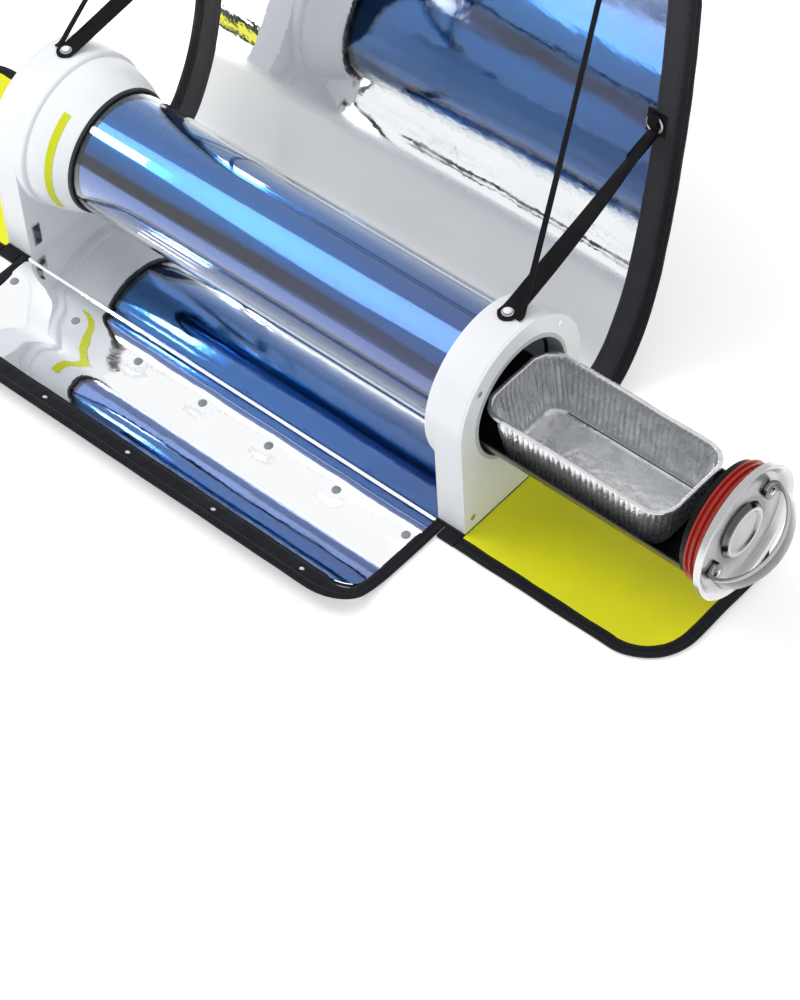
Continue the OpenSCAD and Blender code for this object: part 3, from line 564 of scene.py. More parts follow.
finishes = {
    "white_plastic": mouldedPlastic("whiteShell", **whiteShell),
    "plug_plastic": mouldedPlastic("plugPlastic", (0.003, 0.003, 0.004), (0.009, 0.009, 0.011), 0.0008, 0.0008,
                                   shine=0.12),
    "grey_rivet": mouldedPlastic("greyRivet", (0.2, 0.215, 0.24), (0.34, 0.355, 0.38), 0.0008, 0.0008, (0.25, 0.4)),
    "white_tack": mouldedPlastic("whiteTack", (0.7, 0.71, 0.72), (0.85, 0.86, 0.87), 0.0004, 0.0006),
    "mirror_film": mirrorFilm(),
    "case_board": wovenCloth("caseCloth", (0.004, 0.004, 0.005), (0.018, 0.018, 0.021), 0.0006, sheen=0.06),
    "flap_cloth": wovenCloth("flapCloth", (0.004, 0.004, 0.005), (0.018, 0.018, 0.021), 0.0006, sheen=0.06),
    "grey_border": sewnTape("greyBorder", (0.016, 0.017, 0.02), (0.05, 0.051, 0.058), (0.004, 0.021),
                            (0.01, 0.01, 0.01), 0.0011),
    "binding": sewnTape("blackBinding", (0.003, 0.003, 0.005), (0.015, 0.015, 0.02), (0.0035, 0.0115),
                        (0.04, 0.04, 0.045)),
    "lime_lining": limeCloth(),
    "strap_web": webbing(),
    "clear_glass": clearGlass(),
    "blue_absorber": blueCoating(),
    "bright_steel": brushedSteel("brightSteel"),
    "getter_steel": brushedSteel("getterSteel", (0.8, 0.8, 0.8), (0.05, 0.12), edge=0.0002),
    "dark_screw": brushedSteel("darkScrew", (0.06, 0.06, 0.065), (0.3, 0.45)),
    "grey_rubber": softRubber("greyRubber", (0.42, 0.45, 0.5), (0.52, 0.55, 0.6)),
    "black_rubber": softRubber("blackRubber", (0.012, 0.012, 0.014), (0.026, 0.026, 0.03)),
    "lime_stripe": softRubber("limeStripe", (0.6, 0.66, 0.006), (0.7, 0.75, 0.01)),
    "red_silicone": softRubber("redSilicone", (0.34, 0.012, 0.006), (0.44, 0.022, 0.01), (0.22, 0.38),
                               (0.72, 0.2, 0.14)),
    "foil": bakingFoil(),
    "tray_enamel": blackEnamel(),
}
backFilm = mirrorFilm("backFilm", (0.156, 0.178))
spunSteel = brushedSteel("spunSteel", (0.4, 0.41, 0.42), (0.2, 0.34), centre=(0, 0, coating["axis"]), paintedReflectionRings=platePaintedReflections)
print("materials made:", len(finishes) + 2)


# CAD nodes whose shape is right keep it, and get the detailed material of their slot
for name, part in cadNodes.items():
    for held in part.material_slots:
        held.material = finishes[held.material.name.split(".")[0]]


# The sheets of the case as bends from the crease out: how far each one runs and its radius, 0 where it is flat
leanRadius = 1.6
frontSheet = [(0.076, 0), (0.125 * math.radians(24), 0.125), (1, leanRadius)]
backSheet = [(0.021, 0), (0.079 * math.radians(54), 0.079), (0.285 * math.radians(21), 0.285), (1, leanRadius)]
creaseY = 0.0935


def sheetPlace(sheet, s, off):  # out from the crease and up, for a place along the sheet and above its underside
    out = up = turn = 0
    for length, radius in sheet:
        part = min(s, length) if s > 0 else s
        if radius:
            turned = turn + part / radius
            out += radius * (math.sin(turned) - math.sin(turn))
            up += radius * (math.cos(turn) - math.cos(turned))
            turn = turned
        else:
            out += part
        s -= part
        if s <= 0:
            break
    return out - off * math.sin(turn), up + off * math.cos(turn)


def ripple(x, y, z):
    return noise.noise(Vector((x, y, z)))


def ramped(value, start, run):  # 0 before the start, and 1 past the run
    return min(1, max(0, (value - start) / run))


def turnOver(obj):
    startEdit(obj)
    bpy.ops.mesh.flip_normals()
    stopEdit()


def glide(points, value):  # a smooth curve through a few points
    if value <= points[0][0]:
        return points[0][1]
    for i, ((x0, y0), (x1, y1)) in enumerate(zip(points, points[1:])):
        if value <= x1:
            before, after = points[max(0, i - 1)], points[min(len(points) - 1, i + 2)]
            step, share = x1 - x0, (value - x0) / (x1 - x0)
            start, end = (y1 - before[1]) / (x1 - before[0]) * step, (after[1] - y0) / (after[0] - x0) * step
            return ((2 * share ** 3 - 3 * share ** 2 + 1) * y0 + (share ** 3 - 2 * share ** 2 + share) * start
                    + (3 * share ** 2 - 2 * share ** 3) * y1 + (share ** 3 - share ** 2) * end)
    return points[-1][1]


def bendOnto(obj, sheet, side):
    for v in obj.data.vertices:
        out, up = sheetPlace(sheet, v.co.y, v.co.z)
        v.co = (v.co.x, side * (creaseY + out), up)
    if side < 0:
        turnOver(obj)


def layOut(obj, side):  # a flap's flat sheet, laid out at its end of the case
    for v in obj.data.vertices:
        v.co = (side * (flap["from"] + v.co.y), -side * v.co.x, v.co.z)


def edgePlace(panel, x, s):
    half, far, r = panel["width"] / 2, panel["length"], panel["corner"]
    away, flatX, flatS = abs(x), half - r, far - r
    if away > flatX and s > flatS:
        angle = math.atan2(s - flatS, away - flatX)
        along, inwards = flatS + r * angle, r - math.hypot(away - flatX, s - flatS)
        normal = (math.cos(angle), math.sin(angle))
    elif half - away < far - s:
        along, inwards, normal = min(s, flatS), half - away, (1, 0)
    else:
        along, inwards, normal = flatS + r * math.pi / 2 + flatX - min(away, flatX), far - s, (0, 1)
    if x < 0:
        along = 2 * (flatS + r * math.pi / 2 + flatX) - along
        normal = (-normal[0], normal[1])
    return along, inwards, normal


def keepFlat(obj, place=None):  # the flat place of each point becomes the piece's UV map
    layer = obj.data.uv_layers.get("flat") or obj.data.uv_layers.new(name="flat")
    for loop in obj.data.loops:
        co = obj.data.vertices[loop.vertex_index].co
        layer.data[loop.index].uv = place(co) if place else (co.x, co.y)


def flatPanel(name, width, near, far, corner, height):
    letGo()
    bpy.ops.mesh.primitive_plane_add(size=1, location=(0, (near + far) / 2, height))
    obj = bpy.context.object
    obj.name = name
    obj.scale = (width, far - near, 1)
    bpy.ops.object.transform_apply(location=True, rotation=True, scale=True)
    if corner:
        startEdit(obj, "DESELECT")
        pick(obj, "VERT", lambda v: v.co.y > far - 0.0001)
        bpy.ops.mesh.bevel(offset=corner, segments=18, affect="VERTICES")
        stopEdit()
    return obj


def edgeBand(name, panel, profile, middle, start=0.0, under=1.0, frontRatio=1.0, wobble=0.0, pitch=0.008):
    obj = flatPanel(name, panel["width"], -0.09, panel["length"], panel["corner"], middle)
    startEdit(obj)
    for (lastIn, lastUp), (nextIn, nextUp) in zip(profile, profile[1:]):
        bpy.ops.mesh.inset(thickness=nextIn - lastIn, depth=nextUp - lastUp)
    bpy.ops.mesh.delete(type="FACE")
    bpy.ops.mesh.select_all(action="SELECT")
    bpy.ops.mesh.duplicate()
    bpy.ops.transform.resize(value=(1, 1, -under), center_override=(0, 0, middle))
    bpy.ops.mesh.select_all(action="SELECT")
    bpy.ops.mesh.remove_doubles(threshold=0.00002)
    pickOpenEdges()
    bpy.ops.mesh.bridge_edge_loops()
    bpy.ops.mesh.select_all(action="SELECT")
    bpy.ops.mesh.normals_make_consistent(inside=False)
    bpy.ops.mesh.bisect(plane_co=(0, start, 0), plane_no=(0, 1, 0), use_fill=True, clear_inner=True)
    stopEdit()
    half, far, r = panel["width"] / 2, panel["length"], panel["corner"]
    cutAt(obj, 1, steps(start, far - r, pitch))
    cutAt(obj, 0, steps(-half + r, half - r, pitch))
    keepFlat(obj, lambda co: edgePlace(panel, co.x, co.y)[:2])
    for v in obj.data.vertices:
        along, inwards, (nx, ny) = edgePlace(panel, v.co.x, v.co.y)
        shift = -inwards * (frontRatio - 1) * ny * ny
        if wobble:
            shift += wobble * ripple(along * 28, inwards * 60, 1.7)
            v.co.z += 0.7 * wobble * ripple(along * 45, 3.1, inwards * 40) * (1 if v.co.z > middle else 0)
        v.co.x += nx * shift
        v.co.y += ny * shift if v.co.y > start + 0.001 else 0
    return obj


def softPanel(name, width, near, far, corner, top, thickness, pitch, lift=None):
    obj = flatPanel(name, width, near, far, corner, top)
    cutAt(obj, 1, steps(near, far, pitch))
    cutAt(obj, 0, steps(-width / 2, width / 2, pitch))
    if lift:
        for v in obj.data.vertices:
            v.co.z += lift(v.co.x, v.co.y)
    addModifier(obj, "SOLIDIFY", thickness=thickness, offset=-1)
    keepFlat(obj)
    return obj


# Front wing
frontWing = {"width": 0.602, "length": 0.164, "corner": 0.042, "board": 0.0035, "film": 0.0008,
             "sideBand": 0.014, "frontBand": 0.036, "rivets": 7, "rivetAt": 0.033, "rivetEnd": 0.279}


# The film swells next to the crease, dips past the rivets and rises again towards the binding
filmSwell = ((0, 0), (0.012, 0.0016), (0.020, 0.00125), (0.032, 0.0002), (0.044, -0.0006), (0.056, -0.001),
             (0.064, -0.0011), (0.08, -0.0011), (0.096, -0.0003), (0.11, 0), (0.2, 0))


def frontWaves(x, s):  # slow waves of the film, and a dent round each rivet
    lift = glide(filmSwell, s) + 0.00016 * ripple(x * 7, s * 11, 0.3) + 0.00003 * ripple(x * 26, s * 30, 4.1)
    for i in range(frontWing["rivets"]):
        rivetX = frontWing["rivetEnd"] * (2 * i / (frontWing["rivets"] - 1) - 1)
        away = math.hypot(x - rivetX, s - frontWing["rivetAt"])
        lift -= 0.00045 * math.exp(-(away / 0.013) ** 2) * (1 - math.exp(-(away / 0.006) ** 2))
    return lift


def buildFrontWing():
    p = frontWing
    inner, far = p["width"] - 2 * p["sideBand"] + 0.006, p["length"] - p["frontBand"] + 0.003
    board = softPanel("frontBoard", inner, 0, far, 0.03, p["board"], p["board"], 0.012,
                      lambda x, s: min(0, glide(filmSwell, s)))
    for v in board.data.vertices:
        v.co.z = max(v.co.z, 0)
    bendOnto(board, frontSheet, -1)
    film = softPanel("frontMirror", inner, 0.001, far, 0.03, p["board"] + p["film"], p["film"], 0.007, frontWaves)
    bendOnto(film, frontSheet, -1)
    profile = [(0, 0), (0.0003, 0.0011), (0.001, 0.0019), (0.0024, 0.0025), (0.005, 0.0027), (0.009, 0.0026),
               (0.0125, 0.0023), (0.0134, 0.0019), (0.0138, 0.0015), (0.014, 0.001)]
    band = edgeBand("frontBinding", p, profile, 0.0027, 0.0005, 0.95, p["frontBand"] / p["sideBand"], 0.0005)
    bendOnto(band, frontSheet, -1)
    for piece, angle in ((board, 40), (film, 50), (band, 60)):
        smooth(piece, angle)
    finishPiece(board, finishes["case_board"], "front_wing", ["front_wing_shell"])
    finishPiece(film, finishes["mirror_film"], "front_wing", ["front_wing_mirror"])
    finishPiece(band, finishes["binding"], "front_wing", ["front_wing_binding"])


# Back wing
backWing = {"width": 0.650, "length": 0.560, "corner": 0.042, "board": 0.0035, "film": 0.0008,
            "band": 0.014, "grey": 0.024}


def backWaves(x, s):  # the tall film sags a little more towards its top
    top = ramped(s, 0.15, 0.3)
    return ((0.0002 + 0.0004 * top) * ripple(x * 5, s * 6.5, 2.3)
            + (0.00003 + 0.00005 * top) * ripple(x * 19, s * 21, 7.9))


def buildBackWing():
    p = backWing
    inner = p["width"] - 2 * p["band"] + 0.006
    board = softPanel("backBoard", inner, 0, p["length"] - p["band"] + 0.003, 0.03, p["board"], p["board"], 0.012)
    bendOnto(board, backSheet, 1)
    filmInset = p["band"] + p["grey"] - 0.003
    film = softPanel("backMirror", p["width"] - 2 * filmInset, 0.001, p["length"] - filmInset, 0.012,
                     p["board"] + p["film"], p["film"], 0.0075, backWaves)
    bendOnto(film, backSheet, 1)
    profile = [(0, 0), (0.0003, 0.0012), (0.001, 0.0021), (0.0024, 0.0028), (0.005, 0.003), (0.009, 0.0029),
               (0.0125, 0.0025), (0.0134, 0.0021), (0.0138, 0.0017), (0.014, 0.0012)]
    band = edgeBand("backBinding", p, profile, 0.003, 0.0005, 0.95, 1, 0.0005)
    bendOnto(band, backSheet, 1)
    edge = p["band"] - 0.002
    inside = {"width": p["width"] - 2 * edge, "length": p["length"] - edge, "corner": p["corner"] - edge}
    wide = p["band"] + p["grey"] - edge
    flat = [(0, 0), (0.0004, 0.0005), (0.002, 0.0007), (wide - 0.002, 0.0006), (wide - 0.0005, 0.0004), (wide, 0.0001)]
    border = edgeBand("backBorder", inside, flat, 0.0043, 0.0005, 0.9, 1, 0.0004)
    bendOnto(border, backSheet, 1)
    for piece, angle in ((board, 40), (film, 50), (band, 60), (border, 60)):
        smooth(piece, angle)
    finishPiece(board, finishes["case_board"], "back_wing", ["back_wing_shell"])
    finishPiece(film, backFilm, "back_wing", ["back_wing_mirror"])
    finishPiece(band, finishes["binding"], "back_wing", ["back_wing_binding"])
    finishPiece(border, finishes["grey_border"], "back_wing", ["back_wing_border"])


# End flaps
flap = {"width": 0.216, "length": 0.256, "from": 0.3255, "corner": 0.062, "band": 0.014, "cloth": 0.0019}


def liningFolds(seed):
    def lift(x, s):
        along, inwards = edgePlace(flap, x, s)[:2]
        near = math.exp(-max(0, inwards - flap["band"]) / 0.011)
        pucker = 0.00045 * near * ripple(along * 95, seed, 0)
        fold = 0.0008 * ripple(x * 13 + s * 6, s * 17, seed) + 0.00035 * ripple(x * 40, s * 33, seed + 5)
        return 0.0005 + pucker + fold * ramped(inwards, 0.012, 0.02)
    return lift


def buildFlap(side, name, body):
    p = flap
    inner, far = p["width"] - 2 * p["band"] + 0.006, p["length"] - p["band"] + 0.003
    corner = p["corner"] - 0.011
    cloth = softPanel(name + "Cloth", inner, 0, far, corner, p["cloth"], p["cloth"], 0.012)
    lining = softPanel(name + "Lining", inner, 0.0002, far, corner, 2 * p["cloth"], 0.0009, 0.005,
                       liningFolds(3 + side))
    profile = [(0, 0), (0.0003, 0.001), (0.001, 0.0018), (0.0024, 0.0023), (0.005, 0.0025), (0.009, 0.0024),
               (0.0125, 0.0022), (0.0134, 0.0019), (0.0138, 0.0015), (0.014, 0.0008)]
    band = edgeBand(name + "Binding", p, profile, 0.0025, 0.0002, 0.96, 1, 0.0006)
    for piece, angle in ((cloth, 40), (lining, 70), (band, 60)):
        layOut(piece, side)
        smooth(piece, angle)
    prefix = "right_flap" if side > 0 else "left_flap"
    finishPiece(cloth, finishes["flap_cloth"], body, [prefix + "_shell"])
    finishPiece(lining, finishes["lime_lining"], body, [prefix + "_lining"])
    finishPiece(band, finishes["binding"], body, [prefix + "_binding"])


buildFrontWing()
buildBackWing()
buildFlap(1, "rightFlap", "right_flap")
buildFlap(-1, "leftFlap", "left_flap")
print("wings and flaps built")


# Base panel and its film
base = {"width": 0.650, "depth": 0.186, "thick": 0.005, "stripFrom": 0.302, "stripDepth": 0.015,
        "film": (0.58, 0.0925, 0.0058)}


def boardBlock(name, place, size, edge):
    letGo()
    bpy.ops.mesh.primitive_cube_add(size=1, location=place)
    obj = bpy.context.object
    obj.name = name
    obj.scale = size
    bpy.ops.object.transform_apply(location=True, rotation=True, scale=True)
    startEdit(obj)
    bpy.ops.mesh.bevel(offset=edge, segments=4, affect="EDGES")
    stopEdit()
    keepFlat(obj)
    smooth(obj, 40)
    return obj


def filmWaves(x, y):
    return 0.00012 * ripple(x * 9, y * 11, 5.5) + 0.00004 * ripple(x * 31, y * 34, 8.2)


def buildBase():
    p = base
    board = boardBlock("baseBoard", (0, 0, p["thick"] / 2), (p["width"], p["depth"], p["thick"]), 0.0013)
    finishPiece(board, finishes["case_board"], "base", ["base_shell"])
    width, half, top = p["film"]
    film = softPanel("baseMirror", width, -half, half, 0, top, 0.0008, 0.0075, filmWaves)
    smooth(film, 50)
    finishPiece(film, finishes["mirror_film"], "base", ["base_mirror"])
    wide = p["width"] / 2 - p["stripFrom"]
    for side, label in ((1, "right"), (-1, "left")):
        place = (side * (p["stripFrom"] + wide / 2), -(p["depth"] + p["stripDepth"]) / 2, p["thick"] / 2)
        strip = boardBlock(label + "EdgeStrip", place, (wide, p["stripDepth"], p["thick"] - 0.0002), 0.0018)
        finishPiece(strip, finishes["binding"], "base", ["base_edge_strips"] if side > 0 else [])


# The film runs on over each crease of the case as a soft fold
crease = {"width": 0.58, "near": 0.0908, "far": 0.0966,
          "heights": ((0.0908, 0.00595), (0.0928, 0.0062), (0.0938, 0.0061), (0.0952, 0.0052), (0.0966, 0.00445))}


def buildCrease(name, side):
    p = crease
    fold = softPanel(name, p["width"], p["near"], p["far"], 0, 0, 0.0004, 0.0012,
                     lambda x, y: glide(p["heights"], y) + 0.00008 * ripple(x * 60, y * 90, side))
    if side < 0:
        for v in fold.data.vertices:
            v.co.y = -v.co.y
        turnOver(fold)
    smooth(fold, 60)
    finishPiece(fold, finishes["mirror_film"])
    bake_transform(fold)


buildBase()
buildCrease("frontFold", -1)
buildCrease("backFold", 1)
print("base built")


# Straps and tabs
strapWeb = {"thick": 0.0016, "wide": 0.020, "thin": 0.006, "pitch": 0.0025, "lying": 0.2231, "tab": 0.0047}


def softRoute(points, pitch=0.0012):  # an even, smooth run of places through a few points
    rows = [Vector(p) for p in points]
    fine = []
    for i in range(len(rows) - 1):
        a, b, c, d = rows[max(0, i - 1)], rows[i], rows[i + 1], rows[min(len(rows) - 1, i + 2)]
        turns = max(2, round((c - b).length / pitch))
        for k in range(turns):
            t = k / turns
            bend = (2 * a - 5 * b + 4 * c - d) * t * t + (3 * b - 3 * c + d - a) * t ** 3
            fine.append(0.5 * (2 * b + (c - a) * t + bend))
    fine.append(rows[-1])
    run = [0]
    for a, b in zip(fine, fine[1:]):
        run.append(run[-1] + (b - a).length)
    return fine, run


def alongRoute(route, s):
    fine, run = route
    low, high = 0, len(run) - 2
    while low < high:
        middle = (low + high + 1) // 2
        low, high = (middle, high) if run[middle] <= s else (low, middle - 1)
    share = (s - run[low]) / (run[low + 1] - run[low])
    before, after = fine[max(0, low - 1)], fine[min(len(fine) - 1, low + 2)]
    return fine[low].lerp(fine[low + 1], share), (after - before).normalized()


def webStrip(name, width, points, squeeze=None, roll=None, roundEnd=0.0, bulge=0.0):
    route = softRoute(points)
    length = route[1][-1]
    obj = flatPanel(name, width, 0, length, 0, 0)
    cutAt(obj, 1, steps(0, length, strapWeb["pitch"]))
    cutAt(obj, 0, steps(-width / 2, width / 2, width / 6))
    addModifier(obj, "SOLIDIFY", thickness=strapWeb["thick"], offset=0)
    keepFlat(obj)
    for v in obj.data.vertices:
        x, s, z = v.co
        edge = abs(x) / (width / 2)
        s = min(s + roundEnd * edge ** 2 * max(0, 1 - s / 0.012), length)
        place, along = alongRoute(route, s)
        side = Vector((1, 0, 0)) - along * along.x
        side.normalize()
        if roll:
            side.rotate(Matrix.Rotation(math.radians(glide(roll, s / length)), 3, along))
        up = side.cross(along)
        size = glide(squeeze, s / length) if squeeze else 1
        thin = 0.72 if edge > 0.95 else 1
        v.co = place + side * x * size + up * (z * thin + bulge * (1 - size) * (1 - edge ** 2))
    smooth(obj, 50)
    return obj


# Each strap: where it lies on its support, and where its far end is sewn on the back wing
strapEnds = {"wide": (0.300, 0.290, 0.364), "thinRight": (0.313, 0.218, 0.530), "thinLeft": (-0.313, -0.295, 0.530)}


def onBackWing(x, s, off):
    out, up = sheetPlace(backSheet, s, off)
    return Vector((x, creaseY + out, up))


def sagging(start, end, shares, sag):
    spots = []
    for share in shares:
        spot = Vector(start).lerp(end, share)
        spot.z -= sag * math.sin(math.pi * share)
        spots.append(spot)
    return spots


def buildWideStrap(side, label):
    foot, tab, at = strapEnds["wide"]
    ring = onBackWing(side * tab, at - 0.0085, strapWeb["tab"] + 0.0055)
    lying = strapWeb["lying"]
    points = [(side * foot, 0.001, lying), (side * foot, 0.010, lying), (side * foot, 0.022, lying + 0.0004)]
    points += sagging(points[-1], ring, (0.12, 0.35, 0.6, 0.85), 0.004)
    points += [ring + Vector((0, y, z)) for y, z in ((-0.006, -0.001), (0.0012, 0.0012), (0.0014, -0.0018),
                                                     (-0.008, -0.0048), (-0.026, -0.0098), (-0.034, -0.0118))]
    squeeze = ((0, 1), (0.3, 1), (0.6, 0.9), (0.8, 0.66), (1, 0.62))
    roll = ((0, 0), (0.25, 0), (0.55, -14 * side), (0.8, -20 * side), (1, -18 * side))
    strap = webStrip(label + "WideStrap", strapWeb["wide"], points, squeeze, roll, 0.007, 0.003)
    finishPiece(strap, finishes["strap_web"], None, [label + "_wide_strap"])
    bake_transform(strap)


def buildThinStrap(side, label, key):
    foot, tab, at = strapEnds[key]
    end = onBackWing(tab, at, strapWeb["tab"] + 0.0030)
    points = [(foot, 0.011, strapWeb["lying"]), (foot, 0.018, strapWeb["lying"] + 0.0001)]
    points += sagging(points[-1], end, (0.05, 0.25, 0.5, 0.75, 0.94), 0.005) + [end]
    roll = ((0, 0), (0.2, 8 * side), (0.6, -10 * side), (1, 0))
    strap = webStrip(label + "ThinStrap", strapWeb["thin"], points, None, roll)
    finishPiece(strap, finishes["strap_web"], None, [label + "_thin_strap"])
    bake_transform(strap)


# A wide tab's loop round its ring: places along the wing from the ring's top, and heights above the wing
tabLoop = ((-0.014, 0.0069), (-0.008, 0.0071), (-0.003, 0.0075), (0.0012, 0.0087), (0.0033, 0.0107), (0.0012, 0.0128),
           (-0.003, 0.0135), (-0.0075, 0.0132), (-0.0105, 0.0120))


def buildTab(name, x, at, width, length, replaced=()):
    half = length / 2
    spots = [(at - half, 0.0053), (at - half * 0.4, 0.0056), (at + half * 0.4, 0.0056), (at + half, 0.0053)]
    patch = webStrip(name, width, [onBackWing(x, s, off) for s, off in spots])
    finishPiece(patch, finishes["strap_web"], "back_wing", replaced)


for side, label in ((1, "right"), (-1, "left")):
    buildWideStrap(side, label)
    tabX, tabAt = side * strapEnds["wide"][1], strapEnds["wide"][2]
    buildTab(label + "Tab", tabX, tabAt, 0.023, 0.026, ["strap_tabs"] if side > 0 else ())
    loop = webStrip(label + "TabLoop", 0.0115, [onBackWing(tabX, tabAt + 0.0092 + s, off) for s, off in tabLoop])
    finishPiece(loop, finishes["strap_web"], "back_wing")
buildThinStrap(1, "right", "thinRight")
buildThinStrap(-1, "left", "thinLeft")
buildTab("rightThinTab", *strapEnds["thinRight"][1:], 0.016, 0.016, ["thin_strap_tabs"])
buildTab("leftThinTab", *strapEnds["thinLeft"][1:], 0.016, 0.016)
print("straps built")


# Foil pan: levels of its wall as height, half length, half width and corner radius, from the floor up
pan = {"middle": 0.428, "flutePitch": 0.0065, "flute": 0.0014, "foil": 0.0005,
       "foot": ((0.0868, 0.0905, 0.036, 0.016), (0.0872, 0.0935, 0.0392, 0.018), (0.0884, 0.0958, 0.0415, 0.0195),
                (0.0907, 0.0972, 0.0432, 0.0205), (0.0948, 0.0986, 0.0441, 0.021)),
       "rim": ((0.1545, 0.1097, 0.0498, 0.024), (0.1552, 0.1101, 0.0503, 0.0242), (0.1557, 0.1110, 0.0512, 0.025),
               (0.1558, 0.1128, 0.0530, 0.026), (0.1551, 0.1145, 0.0546, 0.0275), (0.1540, 0.1150, 0.0550, 0.028),
               (0.1529, 0.1144, 0.0545, 0.0275), (0.1526, 0.1130, 0.0532, 0.026), (0.1533, 0.1118, 0.0522, 0.025)),
       "half": (0.0985, 0.0435), "widens": (0.0115, 0.0068), "corner": 0.024, "wallFrom": 0.0925, "wallTo": 0.1538,
       "rimFrom": 0.1524, "floorTo": 0.0870}


def toLevel(obj, old, new):  # carries the outline of one level to the next
    mesh = bmesh.from_edit_mesh(obj.data)
    (x0, y0, r0), (z1, x1, y1, r1) = old[1:], new
    for v in mesh.verts:
        if v.select:
            sx, sy = (1 if v.co.x > 0 else -1), (1 if v.co.y > 0 else -1)
            ax, ay = abs(v.co.x), abs(v.co.y)
            if ax > x0 - r0 and ay > y0 - r0:
                angle = math.atan2(ay - (y0 - r0), ax - (x0 - r0))
                v.co = (sx * (x1 - r1 + r1 * math.cos(angle)), sy * (y1 - r1 + r1 * math.sin(angle)), z1)
            elif x0 - ax < y0 - ay:
                v.co = (sx * x1, v.co.y * (y1 - r1) / (y0 - r0), z1)
            else:
                v.co = (v.co.x * (x1 - r1) / (x0 - r0), sy * y1, z1)
    bmesh.update_edit_mesh(obj.data)


def flutedPlace(x, y, level):  # the way out of the wall, the run along it and how near a corner is
    p = pan
    halfX, halfY = (start + more * level for start, more in zip(p["half"], p["widens"]))
    corner = ramped(abs(x), halfX - 0.030, 0.012) * ramped(abs(y), halfY - 0.026, 0.010)
    if corner > 0.3:
        middle = [math.copysign(half - p["corner"], place) for half, place in ((halfX, x), (halfY, y))]
        outwards = Vector((x - middle[0], y - middle[1], 0)).normalized()
        return outwards, math.atan2(outwards.y, outwards.x) * 0.026, corner
    if abs(x) / halfX > abs(y) / halfY:
        return Vector((math.copysign(1, x), 0, 0)), y, corner
    return Vector((0, math.copysign(1, y) if y else 0, 0)), x if y else y, corner


def buildPan():
    p = pan
    wall = [tuple(a + (b - a) * i / 8 for a, b in zip(p["foot"][-1], p["rim"][0])) for i in range(1, 8)]
    levels = list(p["foot"]) + wall + list(p["rim"])
    low, hx, hy, r = levels[0]
    obj = flatPanel("foilPan", 2 * hx, -hy, hy, 0, low)
    startEdit(obj)
    bpy.ops.mesh.bevel(offset=r, segments=26, affect="VERTICES")
    stopEdit()
    cutAt(obj, 0, steps(-hx + r, hx - r, 0.0013))
    cutAt(obj, 1, steps(-hy + r, hy - r, 0.0007))
    startEdit(obj, "DESELECT")
    pickOpenEdges()
    for old, new in zip(levels, levels[1:]):
        bpy.ops.mesh.extrude_edges_move()
        toLevel(obj, old, new)
    bpy.ops.mesh.select_all(action="SELECT")
    bpy.ops.mesh.normals_make_consistent(inside=False)
    stopEdit()
    for v in obj.data.vertices:
        x, y, z = v.co
        outwards, run, corner = flutedPlace(x, y, ramped(z, low, p["rim"][0][0] - low))
        wall = ramped(z, p["wallFrom"], 0.006) * (1 - ramped(z, p["wallTo"] - 0.004, 0.004))
        flute = p["flute"] * math.cos(2 * math.pi * run / p["flutePitch"]) * (1 - 0.35 * corner)
        dent = 0.0009 * ripple(x * 26, y * 26, z * 40) + corner * 0.0012 * ripple(x * 130, y * 130, z * 22)
        shift = wall * (flute - 0.0005 + dent)
        if z > p["rimFrom"]:
            wave = 0.0008 * ripple(x * 24, y * 24, 2.0) + (0.0002 + 0.0007 * corner) * ripple(x * 120, y * 120, 9.0)
            v.co.z += wave * 0.8 - 0.0004 * corner
            shift += 0.8 * wave - 0.0005
        v.co += outwards * shift
        if z < p["floorTo"]:
            v.co.z += 0.0003 + 0.0003 * ripple(x * 45, y * 45, 1.0)
    addModifier(obj, "SOLIDIFY", thickness=p["foil"], offset=-1)
    for v in obj.data.vertices:
        v.co.x += p["middle"]
    smooth(obj, 55)
    finishPiece(obj, finishes["foil"], "pan", ["loaf_pan"])


buildPan()
print("pan built")


# Handle: a flat bar bent into an arch, with its feet turned in on the end plate
handle = {"thick": 0.0045, "width": 0.023, "edge": 0.0011, "tilt": math.radians(27), "plate": 0.5916, "axis": 0.132,
          "reach": 0.04375, "span": 0.0546}


def handleRoute():  # half of the bend as height above the plate and place across it, then mirrored
    p = handle
    lift = p["thick"] / 2
    half = [(lift + up, across) for up, across in ((0, 0.0375), (0, 0.0425), (0.0001, 0.0478), (0.0013, 0.0517),
                                                   (0.0048, 0.0537), (0.0092, 0.0537))]
    for angle in range(20, 91, 10):
        rise, fall = math.sin(math.radians(angle)), math.cos(math.radians(angle))
        half.append((p["reach"] * rise ** 0.8, p["span"] * fall * (1 - 0.12 * rise ** 2)))
    return softRoute([(x, -y, 0) for x, y in half] + [(x, y, 0) for x, y in reversed(half[:-1])], 0.001)


def isUpright(edge):  # an edge that runs through the bar's thickness
    first, last = (v.co for v in edge.verts)
    return abs(first.x - last.x) < 0.0001 and abs(first.z - last.z) < 0.0001


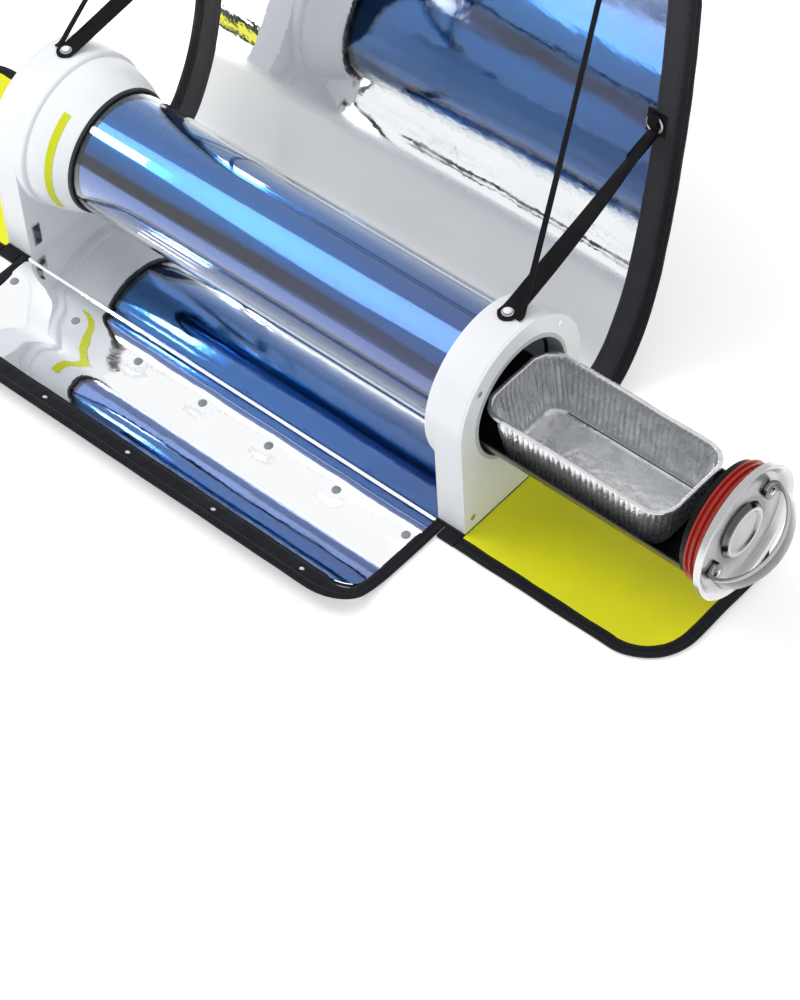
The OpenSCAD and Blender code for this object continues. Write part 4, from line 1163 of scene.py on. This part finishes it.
def buildHandle():
    p = handle
    route = handleRoute()
    length = route[1][-1]
    letGo()
    bpy.ops.mesh.primitive_cube_add(size=1, location=(length / 2, 0, 0))
    bar = bpy.context.object
    bar.name = "handleBar"
    bar.scale = (length, p["thick"], p["width"])
    bpy.ops.object.transform_apply(location=True, rotation=True, scale=True)
    startEdit(bar, "DESELECT")
    pick(bar, "EDGE", isUpright)
    bpy.ops.mesh.bevel(offset=0.007, segments=8, affect="EDGES")
    bpy.ops.mesh.select_all(action="SELECT")
    pick(bar, "EDGE", lambda e: len(e.link_faces) == 2 and e.calc_face_angle(0) > math.radians(60))
    bpy.ops.mesh.bevel(offset=p["edge"], segments=4, affect="EDGES")
    stopEdit()
    cutAt(bar, 0, steps(0, length, 0.0022))
    cos, sin = math.cos(p["tilt"]), math.sin(p["tilt"])
    for v in bar.data.vertices:
        place, along = alongRoute(route, min(max(v.co.x, 0), length))
        spot = place + Vector((along.y, -along.x, 0)) * v.co.y
        v.co = (p["plate"] + spot.x, spot.y * cos - v.co.z * sin, p["axis"] + spot.y * sin + v.co.z * cos)
    faceOutwards(bar)
    smooth(bar, 35)
    # painted shade on the bar's broad sides, with a painted highlight along its narrow edges
    across = {"across": (0, -sin, cos), "middle": p["axis"] * cos, "half": p["width"] / 2,
              "dark": (0.03, 0.027, 0.024), "light": (0.15, 0.14, 0.13)}
    steel = brushedSteel("handleSteel", (0.5, 0.5, 0.5), (0.16, 0.32), 0.0005, paintedSideShade=across)
    finishPiece(bar, steel, "tray", ["handle"])


buildHandle()
for held in cadNodes["end_plate"].material_slots:
    held.material = spunSteel
print("handle built")


# Studio: a plain pale floor, a soft white world, one large lamp and one narrow one that draws the tube's highlight
studio = {"world": 0.78, "floor": (0.93, 0.93, 0.935), "glow": 0.36,
          "key": 22, "keyPlace": (-1.1, -0.7, 2.3), "keySize": 1.5,
          "strip": 2.5, "stripSize": (0.11, 0.42), "stripAt": (-0.184, -0.0345, 0.1918),
          "stripPlace": (-1.322, -0.748, 1.674)}


def seenRays(tree):
    rays = addNode(tree, "ShaderNodeLightPath").outputs
    return count(tree, "MAXIMUM", rays["Is Glossy Ray"], rays["Is Transmission Ray"]), rays["Is Camera Ray"]


def addStudio():
    scene.view_settings.view_transform = "Standard"
    world = bpy.data.worlds.new("studio")
    scene.world = world
    world.use_nodes = True
    tree = world.node_tree
    mirrored, direct = seenRays(tree)
    background = tree.nodes["Background"]
    background.inputs["Color"].default_value = (1, 1, 1, 1)
    seen = count(tree, "MAXIMUM", mirrored, direct)
    plug(tree, background.inputs["Strength"], spread(tree, seen, 0, 1, studio["world"], 1))
    bpy.ops.mesh.primitive_plane_add(size=12, location=(0, 0, -0.0006))
    floor = bpy.context.object
    floor.name = "studioFloor"
    material, tree, shader = newMaterial("floorPaper", Roughness=0.9, Specular_IOR_Level=0.1)
    place = ownPlace(tree)
    grain = useGroup(tree, fineGrain, {"Vector": place, "Size": 0.004})
    paler = tuple(c + 0.01 for c in studio["floor"])
    plug(tree, shader["Base Color"], blendColours(tree, grain["Tone"], studio["floor"], paler))
    mirrored, direct = seenRays(tree)
    glow = count(tree, "ADD", mirrored, times(tree, direct, studio["glow"]))
    plug(tree, shader["Emission Color"], (1, 1, 1))
    plug(tree, shader["Emission Strength"], glow)
    floor.data.materials.append(material)
    bpy.ops.object.light_add(type="AREA", location=studio["keyPlace"])
    lamp = bpy.context.object
    lamp.rotation_euler = (Vector((0, 0, 0.1)) - lamp.location).to_track_quat("-Z", "Y").to_euler()
    lamp.data.energy = studio["key"]
    lamp.data.size = studio["keySize"]
    lamp.visible_glossy = False


def addStrip():  # a narrow lamp, whose reflection is the white bar on the tube
    bpy.ops.object.light_add(type="AREA", location=studio["stripPlace"])
    lamp = bpy.context.object
    away = (lamp.location - Vector(studio["stripAt"])).normalized()
    along = (Vector((1, 0, 0)) - away * away.x).normalized()
    lamp.rotation_euler = Matrix((along, away.cross(along), away)).transposed().to_euler()
    lamp.data.shape = "RECTANGLE"
    lamp.data.size, lamp.data.size_y = studio["stripSize"]
    lamp.data.energy = studio["strip"]


addStudio()
addStrip()
print("studio lit")
